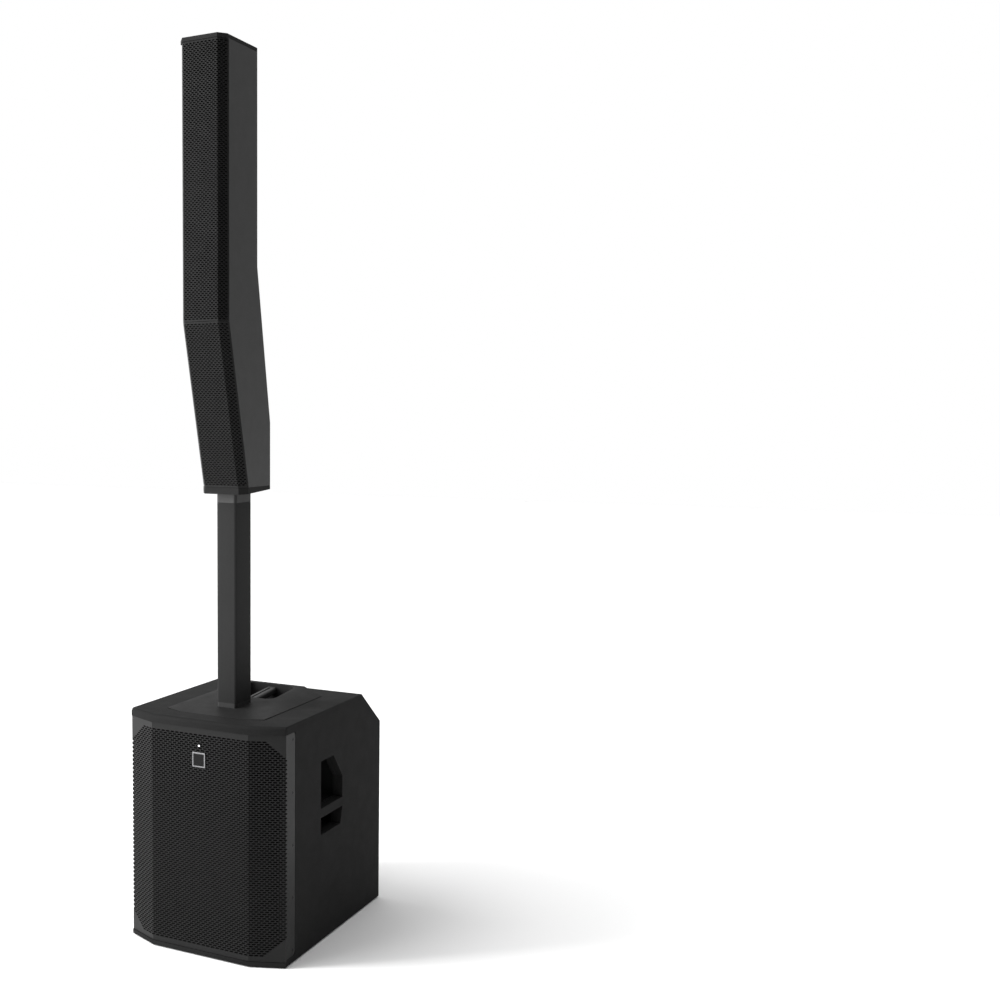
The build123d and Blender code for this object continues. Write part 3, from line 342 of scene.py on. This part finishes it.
def raw_wood():
    """Stained plywood: long grain, pores."""
    shader = Shader("raw_wood")
    grain = shader.noise(9.0, 8.0, 0.7, shader.stretched((2.0, 30.0, 30.0)))
    share = shader.ramp(grain, 0.3, 0.7, 0.0, 1.0)
    shader.drive("Base Color", shader.mix(share, (0.012, 0.010, 0.008), (0.030, 0.024, 0.018)))
    shader.bump((grain, 0.3, 0.6))
    shader.set(Roughness=0.75)
    return shader.material


def foam():
    """Open-cell foam: deep black pores."""
    # Open-cell black foam: pores bumped in and darkened with painted shade.
    shader = Shader("foam")
    pores = shader.cells(900.0)
    share = shader.ramp(pores, 0.2, 0.7, 0.0, 1.0)
    # painted shade: the colour darkens towards the middle of each pore, where the bump sinks in
    shader.drive("Base Color", shader.mix(share, grey(0.0012), grey(0.0040)))
    shader.bump((pores, 0.6, 0.9))
    shader.set(Roughness=1.0, Specular_IOR_Level=0.05)
    return shader.material


def metal(name, colour, roughness, streaks=260.0):
    """Brushed or plated metal with streaks."""
    shader = Shader(name)
    brushed = shader.noise(streaks, 4.0, 0.6, shader.stretched((1.0, 1.0, 12.0)))
    share = shader.ramp(brushed, 0.3, 0.7, 0.0, 1.0)
    shader.drive("Base Color", shader.mix(share, tuple(c * 0.75 for c in colour), colour))
    shader.drive("Roughness", shader.ramp(brushed, 0.3, 0.7, roughness - 0.08, roughness + 0.08))
    shader.bump((brushed, 0.03, 0.4))
    shader.set(Metallic=1.0)
    return shader.material


def cone_paper():
    """Pressed pulp: fibres and a faint sheen."""
    shader = Shader("cone_paper")
    fibres = shader.noise(420.0, 6.0, 0.75)
    share = shader.ramp(fibres, 0.3, 0.7, 0.0, 1.0)
    shader.drive("Base Color", shader.mix(share, grey(0.005), grey(0.012)))
    shader.bump((fibres, 0.25, 0.6))
    shader.set(Roughness=0.7)
    return shader.material


def spider_cloth():
    """Treated woven cloth."""
    shader = Shader("spider_cloth")
    weave = shader.node("ShaderNodeTexWave", wave_type="BANDS", bands_direction="X")
    weave.inputs["Scale"].default_value = 700.0
    shader.link(shader.place, weave.inputs["Vector"])
    shader.drive("Base Color", shader.mix(weave.outputs["Fac"], (0.22, 0.13, 0.05), (0.42, 0.28, 0.12)))
    shader.bump((weave.outputs["Fac"], 0.15, 0.7))
    shader.set(Roughness=0.8)
    return shader.material


def circuit_board():
    """Green solder mask with faint tracks."""
    shader = Shader("circuit_board")
    tracks = shader.cells(120.0, "DISTANCE_TO_EDGE")
    share = shader.ramp(tracks, 0.0, 0.08, 0.0, 1.0)
    shader.drive("Base Color", shader.mix(share, (0.03, 0.16, 0.07), (0.010, 0.07, 0.03)))
    shader.bump((tracks, 0.08, 0.4))
    shader.set(Roughness=0.35)
    return shader.material


def window():
    """Smoked display window."""
    shader = Shader("window")
    smudge = shader.noise(60.0, 3.0)
    share = shader.ramp(smudge, 0.3, 0.7, 0.0, 1.0)
    shader.drive("Base Color", shader.mix(share, (0.003, 0.004, 0.006), (0.007, 0.008, 0.011)))
    shader.drive("Roughness", shader.ramp(smudge, 0.3, 0.7, 0.05, 0.14))
    shader.set(Specular_IOR_Level=0.2, Coat_Weight=0.05)
    return shader.material


def led_lens():
    """Lit white lens, with a soft grain."""
    shader = Shader("led_lens")
    colour = shader.mix(shader.noise(300.0, 1.0), (0.90, 0.94, 1.0), (1.0, 1.0, 1.0))
    shader.drive("Base Color", colour)
    shader.drive("Emission Color", colour)
    shader.set(Roughness=0.2, Emission_Strength=1.6)
    return shader.material


def print_ink():
    """Pale grey screen print."""
    shader = Shader("print_ink")
    share = shader.ramp(shader.noise(1500.0, 3.0), 0.3, 0.7, 0.0, 1.0)
    shader.drive("Base Color", shader.mix(share, grey(0.30), grey(0.42)))
    shader.set(Roughness=0.6)
    return shader.material


def floor_paper():
    """Seamless white studio paper."""
    shader = Shader("floor_paper")
    shader.drive("Base Color", shader.mix(shader.noise(0.6, 2.0), grey(0.90), grey(0.94)))
    shader.set(Roughness=0.8)
    return shader.material


SPECIAL = (raw_wood, foam, cone_paper, spider_cloth, circuit_board, window, led_lens, print_ink, floor_paper)

# Darkest and lightest grey, roughness, grain per metre, its height in mm, and what isn't as paint() has it.
PAINTS = {
    "cabinet_paint": (0.0125, 0.0140, 0.66, 620.0, 0.30, {"wear": 0.0, "specular": 0.04}),
    "grille_steel": (0.0115, 0.0132, 0.36, 1400.0, 0.05, {"specular": 0.12}),
    "column_paint": (0.0255, 0.0285, 0.42, 1100.0, 0.08, {"specular": 0.01}),
    "moulded_plastic": (0.0130, 0.0150, 0.55, 900.0, 0.14, {"specular": 0.06}),
    "array_shell": (0.0180, 0.0200, 0.48, 950.0, 0.12, {"specular": 0.4}),
    "handle_grip": (0.0090, 0.0120, 0.58, 700.0, 0.20, {}),
    "fitting_plastic": (0.0050, 0.0070, 0.55, 900.0, 0.10, {}),
    "inner_plastic": (0.0050, 0.0070, 0.60, 700.0, 0.10, {"specular": 0.3}),
    "panel_steel": (0.0110, 0.0140, 0.45, 1000.0, 0.10, {}),
    "socket_plastic": (0.0060, 0.0080, 0.38, 1200.0, 0.04, {}),
    "switch_plastic": (0.0080, 0.0100, 0.30, 1500.0, 0.03, {}),
    "cast_frame": (0.0180, 0.0220, 0.50, 800.0, 0.12, {"metallic": 0.3}),
    "knob_rubber": (0.0100, 0.0130, 0.60, 1300.0, 0.05, {}),
    "rubber": (0.0070, 0.0095, 0.72, 500.0, 0.12, {}),
    "cable": (0.0070, 0.0090, 0.55, 900.0, 0.06, {}),
    "badge_field": (0.0050, 0.0065, 0.40, 900.0, 0.04, {"wear": 0.0, "specular": 0.1}),
}

# Colour, roughness and, on the finer ones, streaks per metre.
METALS = {
    "black_screw": ((0.018, 0.018, 0.019), 0.42),
    "magnet": ((0.05, 0.05, 0.052), 0.55),
    "heatsink": ((0.020, 0.020, 0.022), 0.45),
    "copper": ((0.60, 0.28, 0.14), 0.35, 900.0),
    "badge": ((0.22, 0.22, 0.225), 0.36, 400.0),
}

looks = {maker.__name__: maker() for maker in SPECIAL}
looks.update({name: paint(name, *numbers, **options) for name, (*numbers, options) in PAINTS.items()})
looks.update({name: metal(name, *numbers) for name, numbers in METALS.items()})


def paint_nodes():
    """Gives every CAD node its slot's material."""
    for entry in frame["record"]["subparts"]:
        mesh = nodes[entry["node"]].data
        mesh.materials.clear()
        mesh.materials.append(looks[entry["material_slot"]])


# ---- perforated sheet metal ----
class Folded:
    """A folded line of (x, y) points, read by distance along it and depth behind it."""

    def __init__(self, points):
        self.points = [Vector(p) for p in points]
        self.starts = [0.0]
        for a, b in zip(self.points, self.points[1:]):
            self.starts.append(self.starts[-1] + (b - a).length)

    def inward(self, i):
        """Unit normal of one stretch, to the inside."""
        along = (self.points[i + 1] - self.points[i]).normalized()
        return Vector((-along.y, along.x))

    def at(self, s, depth):
        """The point s along the line and depth behind it, on the mitre where two stretches meet."""
        for i in range(1, len(self.points) - 1):
            if abs(s - self.starts[i]) < TINY:
                mitre = (self.inward(i - 1) + self.inward(i)).normalized()
                return self.points[i] + mitre * (depth / mitre.dot(self.inward(i)))
        i = max(k for k in range(len(self.points) - 1) if k == 0 or self.starts[k] <= s)
        along = (self.points[i + 1] - self.points[i]).normalized()
        return self.points[i] + along * (s - self.starts[i]) + self.inward(i) * depth


class Sheet:
    """Closed sheet metal, laid out flat in (s, z) and folded by place(s, z, depth)."""

    def __init__(self, place, thickness):
        self.place = place
        self.thickness = thickness
        self.points = []
        self.index = {}
        self.loops = []

    def corner(self, s, z):
        key = (round(s * 1e6), round(z * 1e6))
        if key not in self.index:
            self.index[key] = len(self.points)
            self.points.append((s, z))
        return self.index[key]

    def fill(self, *outline):
        self.loops.append([self.corner(s, z) for s, z in outline])

    def slotted(self, s0, s1, s2, z0, z1, slot):
        """One brick of the pattern, from s0 to s2 by z0 to z1, with a slot in its middle."""
        o = [(s0, z0), (s1, z0), (s2, z0), (s2, z1), (s1, z1), (s0, z1)]
        p = slot_outline(s1, (z0 + z1) / 2, *slot)
        self.fill(o[0], o[1], p[3], p[2])
        self.fill(o[1], o[2], p[4], p[3])
        self.fill(o[2], p[5], p[4])
        self.fill(o[2], o[3], p[7], p[6], p[5])
        self.fill(o[3], p[8], p[7])
        self.fill(o[3], o[4], p[9], p[8])
        self.fill(o[4], o[5], p[10], p[9])
        self.fill(o[5], p[11], p[10])
        self.fill(o[5], o[0], p[1], p[0], p[11])
        self.fill(o[0], p[2], p[1])

    def lay(self, columns, levels, slot=None, is_slot=None):
        """Fills the grid; a brick with a slot starts wherever is_slot(row, column) is true."""
        for i, (z0, z1) in enumerate(zip(levels, levels[1:])):
            j = 0
            while j < len(columns) - 1:
                if is_slot and is_slot(i, j):
                    self.slotted(columns[j], columns[j + 1], columns[j + 2], z0, z1, slot)
                    j += 2
                else:
                    self.fill((columns[j], z0), (columns[j + 1], z0), (columns[j + 1], z1), (columns[j], z1))
                    j += 1

    def build(self, name, look):
        front = [self.place(s, z, 0.0) for s, z in self.points]
        rear = [self.place(s, z, self.thickness) for s, z in self.points]
        shift = len(self.points)
        faces = [tuple(loop) for loop in self.loops]
        faces += [tuple(v + shift for v in reversed(loop)) for loop in self.loops]
        sides = set()
        for loop in self.loops:
            sides.update(zip(loop, loop[1:] + loop[:1]))
        faces += [(b, a, a + shift, b + shift) for a, b in sorted(sides) if (b, a) not in sides]
        mesh = bpy.data.meshes.new(name)
        mesh.from_pydata(front + rear, [], faces)
        mesh.update()
        mesh.materials.append(looks[look])
        return new_object(name, mesh)


def slot_outline(s, z, width, height):
    """Twelve points round a slot with rounded ends, anticlockwise from its left end."""
    r = height / 2
    reach = width / 2 - r
    slant = r * math.sqrt(0.5)
    lower = [
        (-reach - r, 0), (-reach - slant, -slant), (-reach, -r),
        (0, -r), (reach, -r), (reach + slant, -slant),
    ]
    return [(s + x, z + y) for x, y in lower + [(-x, -y) for x, y in lower]]


def sub_grille():
    """Cabinet's grille: slotted face and facets, slots over the folds, plain flanges with round corners."""
    low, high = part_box("sub_grille")
    side = high.x - mm(SCREW_INSET)
    half = mm(SUB_FACE) / 2
    fold_y = high.y - mm(FLANGE_REACH)
    folded = Folded([
        (-side, high.y), (-side, fold_y), (-half, low.y), (half, low.y), (side, fold_y), (side, high.y),
    ])
    starts = folded.starts
    reach = starts[1]
    end = starts[5]

    def place(s, z, depth):
        """Raises the flange's foot and rounds its rear corners."""
        x, y = folded.at(s, depth)
        past = reach - min(s, end - s)
        if past > TINY:
            into_corner = max(0.0, past - (reach - mm(FLANGE_CORNER)))
            cut = mm(FLANGE_CORNER) - math.sqrt(max(0.0, mm(FLANGE_CORNER) ** 2 - into_corner ** 2))
            z += (mm(FLANGE_DROP) + cut) * max(0.0, 1 - (z - low.z) / mm(FLANGE_EASE))
            z -= cut * max(0.0, 1 - (high.z - z) / mm(FLANGE_EASE))
        return x, y, z

    half_pitch = mm(SUB_FACE) / SUB_FACE_COLUMNS
    flange_steps = round((reach - half_pitch) / mm(FLANGE_STEP))
    columns = spread(
        (0.0, starts[1] - half_pitch, flange_steps), (starts[1] - half_pitch, starts[1], 1),
        (starts[1], starts[2], SUB_FACET_COLUMNS), (starts[2], starts[3], SUB_FACE_COLUMNS),
        (starts[3], starts[4], SUB_FACET_COLUMNS), (starts[4], starts[4] + half_pitch, 1),
        (starts[4] + half_pitch, starts[5], flange_steps),
    )
    left = flange_steps
    right = len(columns) - 1 - flange_steps
    top_row = high.z - mm(SUB_FIELD_TOP)
    low_row = low.z + mm(SUB_FIELD_BOTTOM)
    row = (top_row - low_row) / (SUB_ROWS - 1)
    levels = spread(
        (low.z, low_row - row / 2, SUB_MARGIN_ROWS), (low_row - row / 2, top_row + row / 2, SUB_ROWS),
        (top_row + row / 2, high.z, SUB_MARGIN_ROWS),
    )

    def is_slot(i, j):
        ordinal = i - SUB_MARGIN_ROWS
        if not 0 <= ordinal < SUB_ROWS or (ordinal + j - left) % 2 or not left <= j <= right - 2:
            return False
        onto_facet = max(left + 1 + SUB_FACET_COLUMNS - (j + 1), j + 1 - (right - 1 - SUB_FACET_COLUMNS))
        return onto_facet <= SUB_CORNER_COLUMNS + min(ordinal, SUB_ROWS - 1 - ordinal)

    sheet = Sheet(place, mm(SUB_SHEET))
    sheet.lay(columns, levels, [mm(v) for v in SUB_SLOT], is_slot)
    place_piece(sheet.build("sub_grille_mesh", "grille_steel"), "sub", "grille_steel", "sub_grille")


def array_bend():
    """Height at which the array's two grilles meet."""
    return (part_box("array_upper_grille")[0].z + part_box("array_lower_grille")[1].z) / 2


def array_line(name):
    """Plan of an array grille's face at the bend, and how far it leans back per metre of drop."""
    upper_low, upper_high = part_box("array_upper_grille")
    low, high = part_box(name)
    half = mm(ARRAY_FACE) / 2
    depth = upper_high.y - upper_low.y
    edge_y = upper_high.y - mm(ARRAY_SHEET) * math.cos(math.atan2(depth, upper_high.x - half))
    line = [(-upper_high.x, edge_y), (-half, upper_low.y), (half, upper_low.y), (upper_high.x, edge_y)]
    return line, (high.y - low.y - depth) / (high.z - low.z)


def array_grilles():
    """The array's two grilles: an upright one and one that leans back to the foot."""
    bend_z = array_bend()
    for name in ARRAY_GRILLES:
        line, lean = array_line(name)
        folded = Folded(line)
        starts = folded.starts
        columns = spread(
            (0.0, starts[1], ARRAY_FACET_COLUMNS), (starts[1], starts[2], ARRAY_FACE_COLUMNS),
            (starts[2], starts[3], ARRAY_FACET_COLUMNS),
        )
        last = len(columns) - 3
        low_z, high_z = (corner.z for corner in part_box(name))
        rows = round((high_z - low_z - 2 * mm(ARRAY_MARGIN)) / mm(ARRAY_ROW))
        levels = spread(
            (low_z, low_z + mm(ARRAY_MARGIN), 1), (low_z + mm(ARRAY_MARGIN), high_z - mm(ARRAY_MARGIN), rows),
            (high_z - mm(ARRAY_MARGIN), high_z, 1),
        )

        def place(s, z, depth):
            x, y = folded.at(s, depth)
            return x, y + (bend_z - z) * lean, z

        def is_slot(i, j):
            return 1 <= i <= rows and (i + j) % 2 == 0 and j <= last

        sheet = Sheet(place, mm(ARRAY_SHEET))
        sheet.lay(columns, levels, [mm(v) for v in ARRAY_SLOT], is_slot)
        place_piece(sheet.build(name + "_mesh", "grille_steel"), "array", "grille_steel", name)


def foam_lining(name, body, line, z_low, z_high, thickness, bend_z=0.0, lean=0.0):
    """Foam sheet with open pores on a folded line, which leans back by lean per metre below bend_z."""
    folded = Folded(line)
    starts = folded.starts
    across = spread(*((a, b, round((b - a) / mm(FOAM_GRID))) for a, b in zip(starts, starts[1:])))
    levels = spread((z_low, z_high, round((z_high - z_low) / mm(FOAM_GRID))))

    def place(s, z, depth):
        bumps = (noise.noise(Vector((s, depth, z)) * FOAM_BUMPS) + 1.0) * mm(FOAM_PORES) / 2
        x, y = folded.at(s, depth + bumps if depth < thickness / 2 else depth - bumps)
        return x, y + (bend_z - z) * lean, z

    sheet = Sheet(place, thickness)
    sheet.lay(across, levels)
    obj = sheet.build(name, "foam")
    place_piece(obj, body, "foam")
    return obj


def linings():
    """Foam behind the three grilles."""
    low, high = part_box("grille_foam")
    half = mm(SUB_FACE) / 2
    grille_low, grille_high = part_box("sub_grille")
    slope = math.atan2(grille_high.y - mm(FLANGE_REACH) - grille_low.y, grille_high.x - half)
    edge_y = high.y - mm(SUB_FOAM) * math.cos(slope)
    line = [(-high.x, edge_y), (-half, low.y), (half, low.y), (high.x, edge_y)]
    obj = foam_lining("grille_foam_mesh", "sub", line, low.z, high.z, mm(SUB_FOAM))
    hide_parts("grille_foam")
    for name in ARRAY_GRILLES:
        line, lean = array_line(name)
        folded = Folded(line)
        inner = mm(ARRAY_SHEET) + mm(FOAM_GAP)
        line = [tuple(folded.at(s, inner)) for s in folded.starts]
        low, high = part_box(name)
        foam_lining(name + "_foam", "array", line, low.z, high.z, mm(ARRAY_FOAM), array_bend(), lean)


# ---- screws and knobs ----
def lobed(i, angle):
    """Drive recess in the last rings of a screw head."""
    return 1.0 + SCREW_LOBE_DEPTH * math.cos(SCREW_LOBES * angle) if i >= SCREW_RECESS else 1.0


def screw(bm, centre, axis, radius, head, shank):
    """Pan head on centre's plane, standing out along axis, with its shank behind."""
    profile = [(radius * share, head * level) for share, level in SCREW_HEAD]
    turn_profile(bm, profile, centre, axis, segments=24, shape=lobed)
    core = mm(SCREW_SHANK_RADIUS)
    turn_profile(bm, [(core, -shank), (core, 0.0)], centre, axis, segments=12)


def grille_screws():
    low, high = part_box("grille_screws")
    radius = (high.y - low.y) / 2
    head = mm(GRILLE_SCREW_HEAD)
    bm = bmesh.new()
    for sign in (-1, 1):
        for z in spread((low.z + radius, high.z - radius, GRILLE_SCREWS - 1)):
            centre = (sign * (high.x - head), (low.y + high.y) / 2, z)
            screw(bm, centre, (sign, 0, 0), radius, head, mm(GRILLE_SCREW_SHANK))
    place_piece(mesh_object("grille_screw_heads", bm, "black_screw"), "sub", "black_screw", "grille_screws")


def amp_screws():
    """Screws down both sides of the amplifier panel, and one in the middle of its top and bottom."""
    low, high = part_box("amp_screws")
    radius = mm(AMP_SCREW_RADIUS)
    head = mm(AMP_SCREW_HEAD)
    bm = bmesh.new()
    heights = spread((low.z + radius, high.z - radius, AMP_SCREWS - 1))
    places = [(sign * (high.x - radius), z) for sign in (-1, 1) for z in heights]
    for x, z in places + [(0, heights[0]), (0, heights[-1])]:
        screw(bm, (x, high.y - head, z), (0, 1, 0), radius, head, high.y - low.y - head)
    place_piece(mesh_object("amp_screw_heads", bm, "black_screw"), "sub", "black_screw", "amp_screws")


def ridged(i, angle):
    """Grip ridges round a knob's side."""
    wave = 0.5 + 0.5 * math.cos(KNOB_RIDGES * angle)
    return 1.0 - KNOB_RIDGE_DEPTH * wave if i in KNOB_RIDGED_RINGS else 1.0


def knob(node, body):
    """Ridged knob on a shaft, with a printed pointer."""
    low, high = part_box(node)
    radius = (high.x - low.x) / 2
    centre = Vector(((low.x + high.x) / 2, high.y, (low.z + high.z) / 2))
    bm = bmesh.new()
    profile = [(radius * share, mm(level)) for share, level in KNOB_PROFILE]
    turn_profile(bm, profile, centre, (0, 1, 0), segments=KNOB_RIDGES * 6, shape=ridged)
    shaft = mm(KNOB_SHAFT_RADIUS)
    shaft_end = mm(KNOB_SHAFT_OVERLAP - KNOB_HEIGHT)
    turn_profile(bm, [(shaft, low.y - high.y), (shaft, shaft_end)], centre, (0, 1, 0), segments=20)
    place_piece(mesh_object(node + "_mesh", bm, "knob_rubber"), body, "knob_rubber", node)
    bm = bmesh.new()
    bmesh.ops.create_cube(bm, size=1.0)
    bmesh.ops.bevel(bm, geom=bm.edges[:], offset=POINTER_BEVEL, segments=1, affect="EDGES")
    size = Vector((mm(POINTER_WIDTH), mm(POINTER_DEPTH), radius * POINTER_LENGTH))
    bmesh.ops.scale(bm, vec=size, verts=bm.verts)
    middle = centre + Vector((0, -mm(POINTER_SINK), radius * POINTER_OFFSET))
    bmesh.ops.translate(bm, vec=middle, verts=bm.verts)
    place_piece(mesh_object(node + "_pointer", bm, "print_ink"), body, "knob_rubber")


# ---- badge and status light ----
def rounded_square(half, corner, steps=4):
    """Points round a square with rounded corners."""
    points = []
    for quarter in range(4):
        angle = math.pi / 2 * quarter
        direction = Vector((math.cos(angle + math.pi / 4), math.sin(angle + math.pi / 4)))
        middle = direction * (half - corner) * math.sqrt(2)
        for k in range(steps + 1):
            turn = angle + math.pi / 2 * k / steps
            points.append((middle.x + corner * math.cos(turn), middle.y + corner * math.sin(turn)))
    return points


def badge_plate():
    """Blank badge: a raised rim round a dark field."""
    low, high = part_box("front_badge")
    centre = (low + high) / 2
    half = (high.x - low.x) / 2
    outer = rounded_square(half, mm(BADGE_CORNER))

    def stacked(name, look, levels, *replaced):
        """A body from (inset, y) outlines of the badge."""
        bm = bmesh.new()
        rings = []
        for inset, y in levels:
            scale = (half - mm(inset)) / half
            rings.append([bm.verts.new((centre.x + x * scale, y, centre.z + z * scale)) for x, z in outer])
        skin(bm, rings)
        place_piece(mesh_object(name, bm, look), "sub", "badge", *replaced)

    front, rear = (low.y + mm(depth) for depth in BADGE_FIELD)
    rim = (
        (0.0, high.y), (0.0, low.y + mm(BADGE_BEVEL)), (BADGE_BEVEL, low.y), (BADGE_RIM - BADGE_BEVEL, low.y),
        (BADGE_RIM, low.y + mm(BADGE_SINK)),
    )
    stacked("badge_plate", "badge", rim, "front_badge")
    stacked("badge_field", "badge_field", ((BADGE_RIM, rear), (BADGE_RIM, front)))


def status_light():
    """Lit dome of the status light."""
    low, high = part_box("status_led")
    centre = ((low.x + high.x) / 2, high.y, (low.z + high.z) / 2)
    radius, rise = (high.x - low.x) / 2, high.y - low.y
    profile = [(radius * share, rise * level) for share, level in LED_DOME]
    bm = bmesh.new()
    turn_profile(bm, profile, centre, (0, -1, 0), segments=24)
    obj = mesh_object("status_light", bm, "led_lens", smooth=True)
    place_piece(obj, "sub", "led_lens", "status_led")


# ---- edges and shading of the CAD pieces ----
def soft_edges():
    """Rounds the hard edges of the pieces in SOFT_EDGES and shades them smooth."""
    for name, width in SOFT_EDGES.items():
        obj = nodes[name]
        smooth_and_weld(obj)
        bevel = obj.modifiers.new("soft_edges", "BEVEL")
        bevel.width = mm(width)
        bevel.segments = 2
        bevel.limit_method = "ANGLE"
        bevel.angle_limit = math.radians(SOFT_ANGLE)
        normals = obj.modifiers.new("face_normals", "WEIGHTED_NORMAL")
        normals.keep_sharp = True


def smooth_round_nodes():
    """Shades the other shown pieces smooth, with their hard edges kept."""
    for entry in frame["record"]["subparts"]:
        obj = nodes[entry["node"]]
        if obj.hide_render or entry["node"] in SOFT_EDGES:
            continue
        smooth_and_weld(obj)
        split = obj.modifiers.new("hard_edges", "EDGE_SPLIT")
        split.split_angle = math.radians(HARD_ANGLE)


# ---- camera, light and floor ----
def camera():
    data = bpy.data.cameras.new("camera")
    data.lens = CAMERA_LENS
    data.shift_x, data.shift_y = CAMERA_SHIFT
    obj = new_object("camera", data)
    obj.location = CAMERA_PLACE
    obj.rotation_euler = (math.radians(90 - CAMERA_DOWN), 0.0, math.radians(CAMERA_LEFT))
    bpy.context.scene.camera = obj


def area_light(name, place, target, size, power):
    data = bpy.data.lights.new(name, "AREA")
    data.shape = "RECTANGLE"
    data.size, data.size_y = size
    data.energy = power
    obj = new_object(name, data)
    obj.location = place
    obj.rotation_euler = (Vector(target) - Vector(place)).to_track_quat("-Z", "Y").to_euler()


def white_backdrop():
    """World that is white behind the object and overhead, and dim on the camera's side and to the right."""
    world = bpy.data.worlds.new("studio")
    world.use_nodes = True
    tree = world.node_tree

    def ease(value, low, high, start, end):
        made = tree.nodes.new("ShaderNodeMapRange")
        made.interpolation_type = "SMOOTHSTEP"
        for name, number in (("From Min", low), ("From Max", high), ("To Min", start), ("To Max", end)):
            made.inputs[name].default_value = number
        tree.links.new(value, made.inputs["Value"])
        return made.outputs["Result"]

    direction = tree.nodes.new("ShaderNodeTexCoord")
    split = tree.nodes.new("ShaderNodeSeparateXYZ")
    tree.links.new(direction.outputs["Generated"], split.inputs["Vector"])
    backdrop = tree.nodes.new("ShaderNodeMath")
    backdrop.operation = "MULTIPLY"
    tree.links.new(ease(split.outputs["Y"], *FADE_TO_REAR), backdrop.inputs[0])
    tree.links.new(ease(split.outputs["X"], *FADE_TO_RIGHT), backdrop.inputs[1])
    ceiling = tree.nodes.new("ShaderNodeMath")
    ceiling.operation = "MAXIMUM"
    tree.links.new(backdrop.outputs["Value"], ceiling.inputs[0])
    tree.links.new(ease(split.outputs["Z"], *FADE_TO_CEILING), ceiling.inputs[1])
    background = tree.nodes["Background"]
    background.inputs["Color"].default_value = (1.0, 1.0, 1.0, 1.0)
    tree.links.new(ceiling.outputs["Value"], background.inputs["Strength"])
    return world


def studio():
    scene = bpy.context.scene
    scene.view_settings.view_transform = "Standard"
    scene.world = white_backdrop()
    sun = bpy.data.lights.new("sky_panel", "SUN")
    sun.energy = SUN_POWER
    sun.angle = math.radians(SUN_ANGLE)
    lamp = new_object("sky_panel", sun)
    lamp.rotation_euler = Vector(SUN_SIDE).to_track_quat("Z", "Y").to_euler()
    area_light("key", KEY_PLACE, KEY_TARGET, KEY_SIZE, KEY_POWER)
    bm = bmesh.new()
    bmesh.ops.create_grid(bm, x_segments=8, y_segments=8, size=FLOOR_HALF)
    mesh_object("floor", bm, "floor_paper")


camera()
studio()
paint_nodes()
sub_grille()
array_grilles()
linings()
grille_screws()
amp_screws()
badge_plate()
status_light()
knob("encoder_knob", "encoder")
knob("channel_1_knob", "channel_1_control")
knob("channel_2_knob", "channel_2_control")
soft_edges()
smooth_round_nodes()
